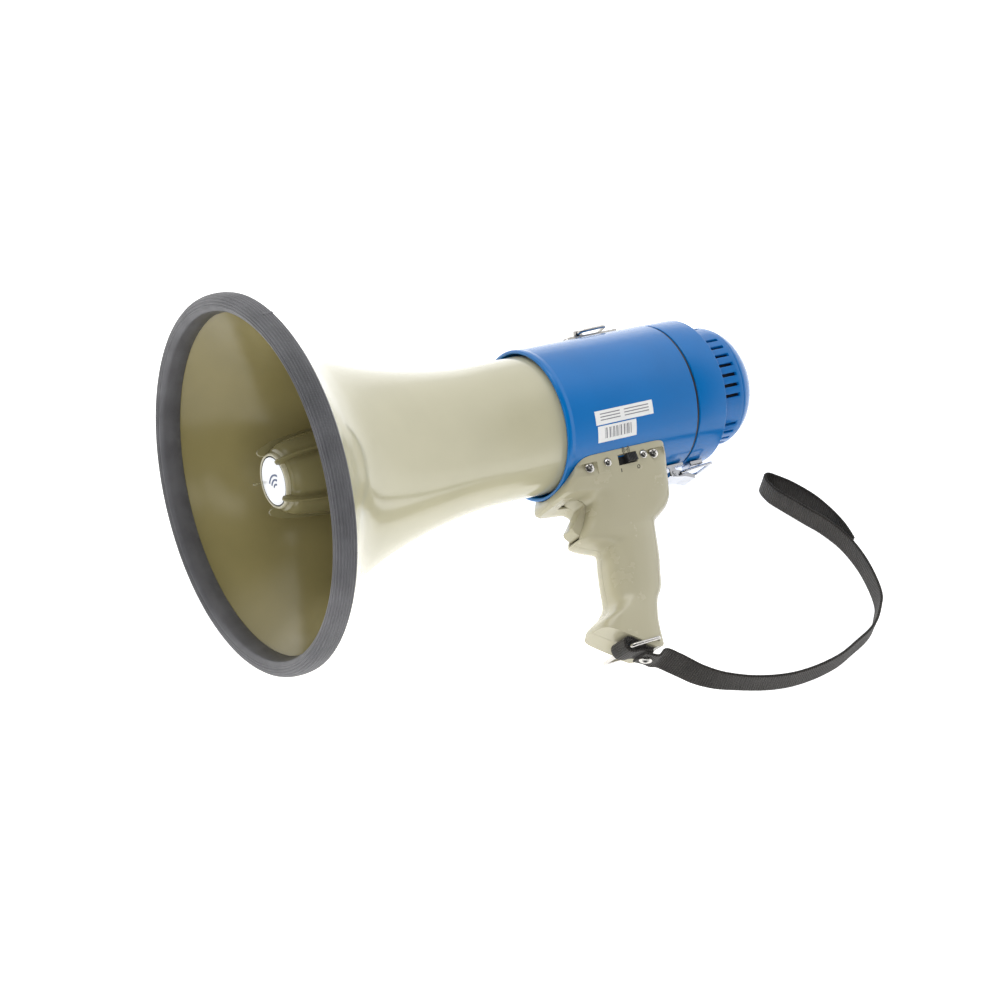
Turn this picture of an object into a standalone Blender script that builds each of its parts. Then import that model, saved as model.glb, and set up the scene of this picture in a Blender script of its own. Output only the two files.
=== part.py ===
"""Handheld megaphone: a re-entrant flared horn on a cylindrical housing, with a
pistol grip, press-to-talk trigger, siren slide switch, draw latch and wrist
strap.  Every physical piece is its own closed solid in its own object.

The pieces are laid out in the megaphone's own design axes, in millimetres:
  x  along the horn axis, 0 at the mouth, growing toward the rear
  y  toward the right-hand side of the person holding it
  z  up, with the grip hanging down in -z
and are then laid down as one rigid body on its right side, touching the floor
with the rim, the rear housing and the wire bail at the foot of the grip.
"""
import math
import bmesh
import bpy
import numpy as np
from mathutils import Matrix, Vector

# ---------------------------------------------------------------- dimensions
MM = 0.001

RIM_R = 115.5             # outer radius of the rubber rim
RIM_BACK = 12.5           # rear face of the rim behind the mouth plane
RIM_FRONT = -4.0          # nose of the rim in front of the mouth plane
BELL_WALL = 2.0
# bell outer surface: distance behind the mouth, radius
BELL = [(3.5, 112.2), (6, 110.6), (10, 106.8), (15, 101.2), (22, 93.3),
        (31, 84.7), (43, 75.9), (60, 67.2), (80, 59.4), (103, 52.8),
        (128, 47.8), (152, 45.0), (175, 44.4), (213, 44.9)]

BARREL_R = 48.3
BARREL_IN = 46.1
BARREL_X0 = 198.0
BARREL_X1 = 299.6
GASKET_X = (299.95, 301.35)
CAP_X = (301.7, 324.3)
CAP_R = 48.0
CAP_IN = 45.6
COLLAR_X = (324.7, 344.9)
COLLAR_R = 39.5
COLLAR_IN = 36.9
SLOT_X = (329.0, 341.5)   # axial ends of the collar slots
SLOT_PITCH = 10.0
SLOT_GROUP = 7
DOME = [(345.25, 38.6), (347.5, 38.4), (351.5, 36.2), (356, 32.2),
        (360.5, 26.4), (364, 19.5), (366.3, 11.5), (367.2, 0.0)]

BULLET = [(20.4, 17.4), (22.5, 19.6), (27, 21.8), (40, 24.0), (62, 26.0),
          (88, 27.6), (112, 28.6)]
BULLET_WALL = 1.8
BADGE_R = 15.9
BADGE_X = (18.0, 19.9)
RIB_N = 5
RIB_T = 1.6

SCREW_Z = -43.4
BIG_SCREW_X = (213.4, 263.2)
SMALL_SCREW_X = (226.4, 254.2)
KNOB_X = 242.2

TRIG_W = 13.0
PIVOT = (213.5, -55.3)
TRIGGER = [(205.4, -52.4), (214.2, -60.0), (199.4, -73.2), (199.6, -75.8),
           (202.6, -79.6), (207.4, -79.0), (215.5, -68.5), (219.6, -60.0),
           (219.6, -51.8), (209.0, -51.4)]

BAIL_PIVOT = (222.0, -156.6)
BAIL_BAR = (201.0, -156.6)
BAIL_D = 2.4
BAIL_Y = 19.0

STRAP_W = 17.4
STRAP_T = 1.8

SPIGOT = 10.0             # the cap's spigot inside the housing
TRAY_X = (245.5, 298.5)
SLOT_W = 2.2              # width of one collar slot
VOLUME = (238.0, -52.0)   # spindle of the volume control, x and z
SEAT_Y = -27.4            # depth of the screw pockets' floor
GRIP_WALL = 2.6
CHEEK_EXTRA = 1.6         # extra wall behind the screws

# horizontal sections of saddle and grip: z, front x, rear x, half width,
# squareness of the outline (2 = ellipse, large = rectangle)
SECTIONS = [(-28.0, 211.0, 274.5, 34.5, 12.0), (-36.0, 206.7, 274.5, 32.0, 12.0),
            (-44.0, 201.0, 274.5, 29.4, 12.0), (-53.5, 194.6, 274.5, 25.6, 9.0),
            (-55.2, 196.0, 274.6, 25.0, 8.0), (-57.0, 211.5, 274.7, 24.2, 7.0),
            (-61.5, 214.5, 274.9, 22.4, 6.0), (-68.0, 211.0, 274.6, 20.2, 5.0),
            (-74.0, 206.5, 271.6, 18.6, 4.2), (-79.0, 202.0, 264.6, 17.6, 3.8),
            (-82.0, 200.2, 259.6, 17.0, 3.4), (-86.0, 206.0, 258.0, 16.6, 3.2),
            (-91.0, 216.6, 257.0, 16.2, 2.8), (-102.0, 213.0, 254.6, 16.0, 2.6),
            (-114.0, 209.6, 250.2, 16.0, 2.6), (-125.0, 207.2, 245.0, 16.2, 2.8),
            (-130.5, 202.0, 239.2, 16.8, 3.2), (-136.5, 191.0, 235.2, 17.4, 4.0),
            (-145.0, 187.0, 231.6, 17.5, 4.5), (-168.0, 184.0, 227.6, 17.5, 4.5)]
BASE_CUT = [(170.0, -125.5), (209.0, -153.5), (214.0, -158.2), (218.5, -161.2),
            (224.0, -161.6), (228.4, -158.8), (250.0, -152.0), (250.0, -190.0),
            (170.0, -190.0)]

LATCH = (287.6, -54.2)    # hinge of the latch lever, x and z
LOOP = (293.6, -55.2)     # where the wire loop is hung in the lever
TAB_Y = -8.2              # where along the bar the webbing tab sits
STRAP_LEAD = (24.1, -11.1, -10.2)
# mid-line of the webbing on the floor, after the rivet
STRAP_ROUTE = [(44, -139, 20.5), (51, -142.5, 17.3), (57.5, -146.6, 14.3),
               (65, -152, 11.6), (75, -159.5, 9.8), (87, -166.5, 9.2),
               (97, -171.5, 9.1), (107, -175.5, 9.1), (118, -178.5, 9.1),
               (129, -180, 9.1), (141, -180.3, 9.1), (154, -179, 9.1),
               (168, -175, 9.1), (179, -171.5, 9.1), (187.6, -166.8, 9.1),
               (196, -158.8, 9.1), (201.4, -151.5, 9.1), (205.3, -138.4, 9.1),
               (207.6, -123, 9.1), (206.6, -106.1, 9.1), (201.4, -91, 9.1),
               (195.7, -80.4, 9.1), (190.3, -70.1, 9.1), (186.3, -62.4, 9.1),
               (183.2, -56.2, 9.1), (182, -51.2, 9.1), (181.7, -47, 9.1),
               (183, -43.6, 9.1), (186, -43.6, 9.1), (189.4, -47.2, 9.1),
               (195.5, -54.8, 9.1), (201.2, -64.5, 9.1), (205.5, -74, 9.1),
               (208.7, -86, 9.1), (210.2, -96, 9.1), (210.2, -103, 9.1),
               (209.5, -109.9, 9.1)]

SEG = 40                  # facets round the large turned parts


# ------------------------------------------------------------------- helpers
for o in list(bpy.data.objects):
    bpy.data.objects.remove(o, do_unlink=True)

PARTS = bpy.data.collections.new('handheld_megaphone')
TOOLS = bpy.data.collections.new('cutters')
for col in (PARTS, TOOLS):
    bpy.context.scene.collection.children.link(col)

AXES = bpy.data.objects.new('megaphone_axes', None)   # carries the laid-down pose
PARTS.objects.link(AXES)
OBJ = {}
MATS = {}


def material(name, rgb, rough, metal=0.0):
    m = bpy.data.materials.new(name)
    m.use_nodes = True
    b = m.node_tree.nodes['Principled BSDF']
    b.inputs['Base Color'].default_value = (rgb[0], rgb[1], rgb[2], 1.0)
    b.inputs['Roughness'].default_value = rough
    b.inputs['Metallic'].default_value = metal
    MATS[name] = m
    return m


material('horn_cream', (0.50, 0.48, 0.36), 0.25)
material('housing_blue', (0.02, 0.15, 0.46), 0.25)
material('grip_beige', (0.44, 0.41, 0.30), 0.35)
material('rim_rubber', (0.07, 0.07, 0.08), 0.60)
material('black_plastic', (0.02, 0.02, 0.02), 0.45)
material('bright_metal', (0.70, 0.68, 0.65), 0.20, 1.0)
material('dark_metal', (0.18, 0.18, 0.19), 0.45, 1.0)
material('badge_silver', (0.75, 0.76, 0.78), 0.30)
material('circuit_green', (0.03, 0.20, 0.08), 0.50)
material('cell_wrap', (0.10, 0.10, 0.11), 0.35)
material('foam_black', (0.03, 0.03, 0.03), 0.95)
material('webbing_black', (0.03, 0.03, 0.03), 0.85)


def place(name, me, mat, origin=(0.0, 0.0, 0.0), parent=True):
    """Link a mesh given in millimetres (relative to origin) as one object."""
    me.transform(Matrix.Scale(MM, 4))
    if me.polygons:
        me.shade_smooth()
        me.set_sharp_from_angle(angle=math.radians(35.0))
    ob = bpy.data.objects.new(name, me)
    if mat is None:
        TOOLS.objects.link(ob)
        ob.hide_render = True
        ob.display_type = 'WIRE'
    else:
        PARTS.objects.link(ob)
        me.materials.append(MATS[mat])
        OBJ[name] = ob
    ob.location = tuple(c * MM for c in origin)
    if parent:
        ob.parent = AXES
    return ob


def finish_bm(bm, name, mat, origin=(0.0, 0.0, 0.0), parent=True):
    bmesh.ops.recalc_face_normals(bm, faces=bm.faces)
    bmesh.ops.translate(bm, verts=bm.verts, vec=-Vector(origin))
    me = bpy.data.meshes.new(name)
    bm.to_mesh(me)
    bm.free()
    return place(name, me, mat, origin, parent)


def lathe(name, profile, mat=None, seg=SEG, centre=(0.0, 0.0), closed=None,
          place_at=None, turn=None):
    """Turn an (x, r) outline about the x axis with a Screw modifier. An outline
    whose ends touch the axis stays open there; any other is closed."""
    pts = [(float(x), float(r)) for x, r in profile]
    on_axis = pts[0][1] < 1e-6 and pts[-1][1] < 1e-6
    area = sum(p[0] * q[1] - q[0] * p[1]
               for p, q in zip(pts, pts[1:] + pts[:1]))
    if area < 0:
        pts = pts[::-1]       # outer side runs toward -x
    me = bpy.data.meshes.new(name)
    n = len(pts)
    edges = [(i, i + 1) for i in range(n - 1)]
    if not on_axis:
        edges.append((n - 1, 0))
    me.from_pydata([(x, 0.0, r) for x, r in pts], edges, [])
    ob = place(name, me, mat, (0.0, centre[0], centre[1]))
    m = ob.modifiers.new('turn', 'SCREW')
    m.axis = 'X'
    m.steps = m.render_steps = seg
    m.use_merge_vertices = True
    m.merge_threshold = 0.00002
    m.use_smooth_shade = True
    return ob


def prism(name, outline, lo, hi, mat=None, axis='y', origin=(0.0, 0.0, 0.0)):
    """A flat 2-D curve filled on both sides and extruded. axis 'y': outline is
    (x, z) in design axes; axis 'x': outline is (y, z)."""
    cu = bpy.data.curves.new(name, 'CURVE')
    cu.dimensions = '2D'
    cu.fill_mode = 'BOTH'
    cu.extrude = (hi - lo) / 2
    sp = cu.splines.new('POLY')
    sp.points.add(len(outline) - 1)
    for p, (a, b) in zip(sp.points, outline):
        p.co = (a, b, 0.0, 1.0)
    sp.use_cyclic_u = True
    tmp = bpy.data.objects.new(name + '_outline', cu)
    TOOLS.objects.link(tmp)
    dg = bpy.context.evaluated_depsgraph_get()
    me = bpy.data.meshes.new_from_object(tmp.evaluated_get(dg))
    bpy.data.objects.remove(tmp, do_unlink=True)
    bm = bmesh.new()
    bm.from_mesh(me)
    bmesh.ops.remove_doubles(bm, verts=bm.verts, dist=0.001)
    mid = (hi + lo) / 2
    if axis == 'y':
        mat4 = Matrix(((1, 0, 0, 0), (0, 0, -1, mid), (0, 1, 0, 0), (0, 0, 0, 1)))
    else:
        mat4 = Matrix(((0, 0, 1, mid), (1, 0, 0, 0), (0, 1, 0, 0), (0, 0, 0, 1)))
    bmesh.ops.transform(bm, matrix=mat4, verts=bm.verts)
    return finish_bm(bm, name, mat, origin)


def box(name, x, y, z, mat=None, origin=(0.0, 0.0, 0.0), bevel=0.0):
    bm = bmesh.new()
    size = (x[1] - x[0], y[1] - y[0], z[1] - z[0])
    mid = ((x[0] + x[1]) / 2, (y[0] + y[1]) / 2, (z[0] + z[1]) / 2)
    bmesh.ops.create_cube(bm, size=1.0, matrix=Matrix.Translation(mid) @
                          Matrix.Diagonal((size[0], size[1], size[2], 1.0)))
    if bevel:
        bmesh.ops.bevel(bm, geom=list(bm.edges), offset=bevel, segments=1,
                        affect='EDGES')
    return finish_bm(bm, name, mat, origin)


def rounded(w, h, r, cx=0.0, cy=0.0, n=4):
    pts = []
    for sx, sy, a0 in ((1, 1, 0), (-1, 1, 90), (-1, -1, 180), (1, -1, 270)):
        for k in range(n + 1):
            a = math.radians(a0 + 90.0 * k / n)
            pts.append((cx + sx * (w / 2 - r) + r * math.cos(a),
                        cy + sy * (h / 2 - r) + r * math.sin(a)))
    return pts


def cylinder(name, p, q, r, seg=20, mat=None, origin=(0.0, 0.0, 0.0)):
    """Round bar from p to q."""
    p, q = Vector(p), Vector(q)
    d = q - p
    rot = Vector((0, 0, 1)).rotation_difference(d.normalized()).to_matrix().to_4x4()
    bm = bmesh.new()
    bmesh.ops.create_cone(bm, cap_ends=True, segments=seg, radius1=r, radius2=r,
                          depth=d.length,
                          matrix=Matrix.Translation((p + q) / 2) @ rot)
    return finish_bm(bm, name, mat, origin)


def wire(name, pts, r, mat=None, origin=(0.0, 0.0, 0.0), fine=2):
    """Round wire: a bevelled curve with filled caps, made a mesh and welded."""
    cu = bpy.data.curves.new(name, 'CURVE')
    cu.dimensions = '3D'
    cu.bevel_depth = r
    cu.bevel_resolution = fine
    cu.use_fill_caps = True
    sp = cu.splines.new('POLY')
    sp.points.add(len(pts) - 1)
    for p, c in zip(sp.points, pts):
        p.co = (float(c[0]), float(c[1]), float(c[2]), 1.0)
    tmp = bpy.data.objects.new(name + '_route', cu)
    TOOLS.objects.link(tmp)
    dg = bpy.context.evaluated_depsgraph_get()
    me = bpy.data.meshes.new_from_object(tmp.evaluated_get(dg))
    bpy.data.objects.remove(tmp, do_unlink=True)
    bm = bmesh.new()
    bm.from_mesh(me)
    bmesh.ops.remove_doubles(bm, verts=bm.verts, dist=0.001)
    return finish_bm(bm, name, mat, origin)


def bend(points, r, n=4):
    """Round the inner corners of an open polyline with radius r."""
    pts = [np.array(p, float) for p in points]
    out = [pts[0]]
    for a, b, c in zip(pts, pts[1:], pts[2:]):
        u = (a - b) / np.linalg.norm(a - b)
        v = (c - b) / np.linalg.norm(c - b)
        half = math.acos(max(-1.0, min(1.0, float(u @ v)))) / 2
        d = r / math.tan(half)
        s, e = b + u * d, b + v * d
        for k in range(n + 1):
            t = k / n
            out.append((1 - t) ** 2 * s + 2 * t * (1 - t) * b + t ** 2 * e)
    out.append(pts[-1])
    return out


def cut(ob, cutter, op='DIFFERENCE'):
    m = ob.modifiers.new(cutter.name, 'BOOLEAN')
    m.operation = op
    m.solver = 'EXACT'
    m.object = cutter
    return ob


def offset(profile, d):
    """Shift an open (x, r) polyline sideways by d (positive = inward)."""
    p = np.array(profile, float)
    t = np.gradient(p, axis=0)
    t /= np.linalg.norm(t, axis=1)[:, None]
    nrm = np.stack([t[:, 1], -t[:, 0]], 1)
    return [tuple(q) for q in p + d * nrm]


def sweep(name, rows, mat=None, parent=True):
    """Loft closed cross-sections (lists of points, same count) end to end.
    Used for the webbing and the grip, whose sections turn or change shape."""
    bm = bmesh.new()
    rings = [[bm.verts.new(tuple(float(c) for c in p)) for p in row] for row in rows]
    n = len(rings[0])
    for a, b in zip(rings, rings[1:]):
        for k in range(n):
            bm.faces.new((a[k], a[(k + 1) % n], b[(k + 1) % n], b[k]))
    bm.faces.new(rings[0])
    bm.faces.new(rings[-1][::-1])
    return finish_bm(bm, name, mat, parent=parent)


def turned_screw(name, at, r, h, shank, length, toward):
    """Pan-head screw turned about x, then aimed so its head faces `toward`."""
    prof = [(0.0, 0.0), (0.0, r * 0.45), (h * 0.35, r * 0.85), (h, r),
            (h + 0.5, r), (h + 0.5, shank), (h + length, shank),
            (h + length + 0.8, 0.0)]
    ob = lathe(name, prof, 'bright_metal', seg=12)
    ob.location = tuple(c * MM for c in at)
    ob.rotation_euler = Vector((-1, 0, 0)).rotation_difference(
        Vector(toward)).to_euler()
    return ob


# --------------------------------------------------------------- horn (front)
bell_in = offset(BELL, BELL_WALL)
lathe('horn_bell', BELL + bell_in[::-1], 'horn_cream')

# rubber rim: a moulded channel gripping both faces of the bell's edge
out_gap = offset(BELL, -0.4)[:3]
in_gap = offset(BELL, BELL_WALL + 0.4)[:3]
in_skin = offset(BELL, BELL_WALL + 3.2)[:3]
lathe('rim_trim',
      [(RIM_BACK, 105.6), (RIM_BACK, 113.6), (RIM_BACK - 1.9, RIM_R),
       (4.0, RIM_R + 0.3), (0.0, RIM_R), (RIM_FRONT + 1.6, 113.6),
       (RIM_FRONT, 111.0), (RIM_FRONT, 108.4), (RIM_FRONT + 1.8, 106.0)]
      + in_skin + [(in_gap[-1][0] + 0.9, in_gap[-1][1] - 1.2)]
      + in_gap[::-1] + [(1.6, in_gap[0][1] + 0.3), (1.6, out_gap[0][1])]
      + out_gap, 'rim_rubber')

# reflex bullet hanging in the mouth, closed in front and open at the rear,
# with five thin vanes standing on it, hooked at their front tips
bullet_in = [(max(x, 23.4), r) for x, r in offset(BULLET, BULLET_WALL)[1:]]
bullet = lathe('reflex_bullet', [(20.4, 0.0)] + BULLET + bullet_in[::-1]
               + [(23.4, 0.0)], 'horn_cream', seg=40)
for k in range(RIB_N):
    vane = prism('vane_%d' % (k + 1),
                 [(111.0, 27.6), (21.2, 15.8), (15.0, 16.6), (13.4, 19.5),
                  (16.5, 21.6), (24.0, 24.4), (60.0, 28.4), (111.0, 31.5)],
                 -RIB_T / 2, RIB_T / 2)
    vane.rotation_euler = (math.radians(72.0 * k), 0.0, 0.0)
    cut(bullet, vane, 'UNION')
lathe('badge_disc', [(BADGE_X[0], 0.0), (BADGE_X[0], BADGE_R - 1.3),
                     (BADGE_X[0] + 0.6, BADGE_R - 0.8),
                     (BADGE_X[1], BADGE_R - 0.8), (BADGE_X[1], 0.0)],
      'badge_silver', seg=32)

# throat tube with the flange that closes the bell, and its three-armed spider
lathe('throat_tube', [(60.0, 9.0), (60.0, 10.8), (150.0, 13.4), (199.0, 16.0),
                      (199.0, 42.0), (201.5, 42.0), (201.5, 13.8),
                      (150.0, 11.4)], 'grip_beige', seg=32)
spider = lathe('bullet_spider', [(103.5, 12.6), (103.5, 15.0), (107.5, 15.0),
                                 (107.5, 12.6)], 'grip_beige', seg=24)
for k in range(3):
    arm = box('spider_arm_%d' % (k + 1), (103.9, 107.1), (-2.0, 2.0), (14.0, 26.0))
    arm.rotation_euler = (math.radians(120.0 * k + 36.0), 0.0, 0.0)
    cut(spider, arm, 'UNION')

# compression driver behind the throat
lathe('driver_diaphragm', [(202.4, 0.0), (202.0, 8.0), (203.6, 19.0),
                           (203.6, 34.0), (204.4, 34.0), (204.4, 18.6),
                           (202.9, 8.0), (203.2, 0.0)], 'dark_metal', seg=32)
lathe('driver_magnet', [(206.4, 14.0), (206.4, 35.0), (218.0, 35.0),
                        (218.0, 14.0)], 'dark_metal', seg=32)
lathe('driver_pole', [(206.4, 0.0), (206.4, 13.0), (218.0, 13.0), (218.0, 0.0)],
      'bright_metal', seg=24)
lathe('driver_yoke', [(218.5, 0.0), (218.5, 33.0), (223.0, 33.0), (223.0, 0.0)],
      'bright_metal', seg=32)

# ---------------------------------------------------------------- housing
lathe('barrel_housing',
      [(BARREL_X0, 46.6), (BARREL_X0 - 0.3, 47.6), (BARREL_X0 + 0.4, 48.7),
       (BARREL_X0 + 2.6, 48.85), (BARREL_X0 + 5.0, BARREL_R),
       (BARREL_X1 - 0.6, BARREL_R), (BARREL_X1, BARREL_R - 0.6),
       (BARREL_X1, BARREL_IN), (BARREL_X0 + 3.0, BARREL_IN)], 'housing_blue')
lathe('seam_gasket', [(GASKET_X[0], 44.6), (GASKET_X[0], 47.3),
                      (GASKET_X[1], 47.3), (GASKET_X[1], 44.6)], 'black_plastic')
# the cap's spigot reaches forward inside the housing
lathe('rear_cap',
      [(CAP_X[0] - SPIGOT, 43.0), (CAP_X[0] - SPIGOT, 44.2), (CAP_X[0], 44.2),
       (CAP_X[0], CAP_R - 0.5), (CAP_X[0] + 0.5, CAP_R),
       (CAP_X[1] - 2.0, CAP_R), (CAP_X[1] - 0.6, CAP_R - 0.7),
       (CAP_X[1], CAP_R - 2.0), (CAP_X[1], 34.0), (CAP_X[1] - 2.2, 34.0),
       (CAP_X[1] - 2.2, CAP_IN), (CAP_X[0] + 1.8, CAP_IN),
       (CAP_X[0] + 1.8, 43.0)], 'housing_blue')

# slotted microphone collar: four groups of seven narrow windows
collar = lathe('mic_collar', [(COLLAR_X[0], COLLAR_IN), (COLLAR_X[0], COLLAR_R),
                              (COLLAR_X[1], COLLAR_R), (COLLAR_X[1], COLLAR_IN)],
               'housing_blue', seg=72)
bm = bmesh.new()
for g in range(4):
    for k in range(SLOT_GROUP):
        a = math.radians(90.0 * g + (k - (SLOT_GROUP - 1) / 2.0) * SLOT_PITCH)
        spot = Matrix.Rotation(a, 4, 'X') @ Matrix.Translation(
            ((SLOT_X[0] + SLOT_X[1]) / 2, 0.0, COLLAR_R)) @ Matrix.Diagonal(
            (SLOT_X[1] - SLOT_X[0], SLOT_W, 8.0, 1.0))
        bmesh.ops.create_cube(bm, size=1.0, matrix=spot)
cut(collar, finish_bm(bm, 'slot_cutters', None))

dome_in = [(x, r - 2.0) for x, r in DOME[:2]] + \
          [(x - 1.7, r - 1.4) for x, r in DOME[2:-1]] + [(365.2, 0.0)]
# the open end of the dome is a flat ring, so its outline is closed there
lathe('mic_dome', [(367.2, 0.0)] + DOME[-2::-1] + dome_in, 'housing_blue', seg=40)
lathe('mic_foam', [(329.0, 0.0), (329.0, 22.0), (341.0, 22.0), (341.0, 0.0)],
      'foam_black', seg=20)
lathe('mic_capsule', [(325.0, 0.0), (325.0, 7.0), (328.5, 7.0), (328.5, 0.0)],
      'bright_metal', seg=16)

# battery holder and six C-size cells standing round its centre post
lathe('battery_tray', [(TRAY_X[0], 0.0), (TRAY_X[0], 43.6),
                       (TRAY_X[0] + 1.8, 43.6), (TRAY_X[0] + 1.8, 14.0),
                       (TRAY_X[1] - 1.6, 14.0), (TRAY_X[1], 13.0),
                       (TRAY_X[1], 0.0)], 'black_plastic', seg=32)
for k in range(6):
    a = math.radians(30 + 60.0 * k)
    lathe('battery_cell_%d' % (k + 1),
          [(247.9, 0.0), (247.9, 12.6), (296.4, 12.6), (296.4, 3.2),
           (297.9, 3.2), (297.9, 0.0)], 'cell_wrap', seg=16,
          centre=(30.0 * math.sin(a), 30.0 * math.cos(a)))
prism('circuit_board', rounded(56.0, 56.0, 8.0), 236.0, 237.6, 'circuit_green', 'x')


# ------------------------------------------------------------ grip and saddle
def grip_form(name, sections, wall, mat=None, n=24):
    rows = []
    for z, x0, x1, w, e in sections:
        c, a, b = (x0 + x1) / 2, (x1 - x0) / 2 - wall, w - wall
        row = []
        for k in range(n):
            t = 2 * math.pi * (k + 0.5) / n
            ct, st = math.cos(t), math.sin(t)
            row.append((c + a * math.copysign(abs(ct) ** (2 / e), ct),
                        b * math.copysign(abs(st) ** (2 / e), st), z))
        rows.append(row)
    return sweep(name, rows, mat)


inner = []
for z, x0, x1, w, e in SECTIONS:
    if z > -56.0:
        inner.append((z + (6.0 if z == SECTIONS[0][0] else 0.0), x0 + 4.0, x1,
                      w - CHEEK_EXTRA, e))
    elif z > -92.0:
        inner.append((z, max(x0, 217.0), x1, w, e))
    elif z > -126.0:
        inner.append((z, x0, x1, w, e))
inner.append((-134.0, 205.0, 235.6, 16.6, 3.4))
hollow = grip_form('grip_hollow', inner, GRIP_WALL)
seat = lathe('barrel_seat', [(150.0, 0.0), (150.0, BARREL_R + 0.85),
                             (BARREL_X0 + 6.0, BARREL_R + 0.85),
                             (BARREL_X0 + 6.2, BARREL_R + 0.3),
                             (330.0, BARREL_R + 0.3), (330.0, 0.0)], seg=80)
base = prism('base_cut', BASE_CUT, -30.0, 30.0)
slot = prism('trigger_slot', [(203.6, -50.6), (203.6, -55.0), (196.0, -70.0),
                              (196.0, -80.0), (201.0, -81.5), (222.0, -81.5),
                              (222.0, -50.6)],
             -TRIG_W / 2 - 0.6, TRIG_W / 2 + 0.6)
keep_left = box('keep_left', (150.0, 330.0), (-0.15, 60.0), (-200.0, 60.0))
keep_right = box('keep_right', (150.0, 330.0), (-60.0, 0.15), (-200.0, 60.0))
pin_hole = cylinder('pin_hole', (PIVOT[0], -11.0, PIVOT[1]),
                    (PIVOT[0], 11.0, PIVOT[1]), 1.55, 12)
bail_hole = cylinder('bail_hole', (BAIL_PIVOT[0], -25.0, BAIL_PIVOT[1]),
                     (BAIL_PIVOT[0], 25.0, BAIL_PIVOT[1]), BAIL_D / 2 + 0.35, 12)

# pockets let into the left cheek for the two long screws, the switch window
# and the volume spindle hole on the right
pocket_f = prism('pocket_front', [(190.0, -34.0), (219.0, -34.0), (219.0, -49.0),
                                  (190.0, -46.0)], -40.0, SEAT_Y)
pocket_r = prism('pocket_rear', [(254.6, -38.6), (271.8, -37.6), (270.2, -60.0)],
                 -40.0, SEAT_Y)
window = box('switch_window', (KNOB_X - 7.2, KNOB_X + 7.2), (-40.0, -20.0),
             (SCREW_Z - 3.2, SCREW_Z + 3.2))
bores = [cylinder('bore_big_%d' % i, (x, -30.0, SCREW_Z), (x, -18.0, SCREW_Z),
                  1.9, 12) for i, x in enumerate(BIG_SCREW_X)]
bores += [cylinder('bore_small_%d' % i, (x, -35.0, SCREW_Z), (x, -18.0, SCREW_Z),
                   1.5, 12) for i, x in enumerate(SMALL_SCREW_X)]
bores += [cylinder('small_seat_%d' % i, (x, -40.0, SCREW_Z), (x, -29.4, SCREW_Z),
                   3.2, 16) for i, x in enumerate(SMALL_SCREW_X)]
vol_bore = cylinder('volume_bore', (VOLUME[0], 20.0, VOLUME[1]),
                    (VOLUME[0], 40.0, VOLUME[1]), 3.4, 16)

left = grip_form('grip_left_shell', SECTIONS, 0.0, 'grip_beige')
right = grip_form('grip_right_shell', SECTIONS, 0.0, 'grip_beige')
for shell, keep in ((left, keep_left), (right, keep_right)):
    for c in (hollow, seat, base, keep, slot, pin_hole, bail_hole):
        cut(shell, c)
for c in [pocket_f, pocket_r, window] + bores:
    cut(left, c)
cut(right, vol_bore)

# ------------------------------------------------------- trigger and switches
at_pivot = (PIVOT[0], 0.0, PIVOT[1])
trig = prism('trigger', TRIGGER, -TRIG_W / 2, TRIG_W / 2, 'grip_beige',
             origin=at_pivot)
cut(trig, cylinder('trigger_eye', (PIVOT[0], -9.0, PIVOT[1]),
                   (PIVOT[0], 9.0, PIVOT[1]), 1.6, 12))
cylinder('trigger_pin', (PIVOT[0], -10.6, PIVOT[1]), (PIVOT[0], 10.6, PIVOT[1]),
         1.25, 12, 'bright_metal', origin=at_pivot)
box('talk_switch', (226.8, 240.5), (-5.0, 5.0), (-77.0, -66.0), 'black_plastic')
wire('trigger_spring',
     [(218.6 + 7.6 * t / 28.0, 2.2 * math.cos(2 * math.pi * t / 7.0),
       -71.5 + 2.2 * math.sin(2 * math.pi * t / 7.0)) for t in range(29)],
     0.35, 'bright_metal', fine=1)

# siren slide switch behind the left cheek: body, and the sliding button
prism('siren_switch_body', [(-25.2, -42.4), (-24.6, -42.4), (-20.6, -44.6),
                            (-18.0, -50.0), (-22.2, -50.0)],
      KNOB_X - 10.2, KNOB_X + 10.2, 'bright_metal', 'x')
box('siren_switch_knob', (KNOB_X - 1.0, KNOB_X + 6.6), (-31.8, -26.4),
    (SCREW_Z - 2.6, SCREW_Z + 2.6), 'black_plastic',
    origin=(KNOB_X + 2.8, -26.4, SCREW_Z), bevel=0.5)
for i, x in enumerate(SMALL_SCREW_X):
    turned_screw('switch_screw_%d' % (i + 1), (x, -31.4, SCREW_Z), 2.7, 1.1,
                 1.15, 5.3, (0, -1, 0))
for i, x in enumerate(BIG_SCREW_X):
    turned_screw('saddle_screw_%d' % (i + 1), (x, -29.5, SCREW_Z), 3.5, 1.3,
                 1.5, 2.8, (0, -1, 0))

# volume control: spindle through the right cheek with a turned knob
vol = lathe('volume_knob', [(0.0, 0.0), (0.0, 7.4), (0.8, 8.2), (5.2, 8.2),
                            (6.0, 7.2), (6.0, 2.8), (16.5, 2.8), (16.5, 0.0)],
            'black_plastic', seg=20)
vol.location = (VOLUME[0] * MM, 36.4 * MM, VOLUME[1] * MM)
vol.rotation_euler = (0.0, 0.0, math.radians(-90.0))
pointer = box('pointer_groove', (-0.6, 0.6), (-0.6, 0.6), (3.0, 9.0))
pointer.location = vol.location
cut(vol, pointer)
box('volume_potentiometer', (VOLUME[0] - 8.0, VOLUME[0] + 8.0), (10.0, 19.5),
    (VOLUME[1] - 6.0, VOLUME[1] + 2.0), 'bright_metal')

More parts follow.
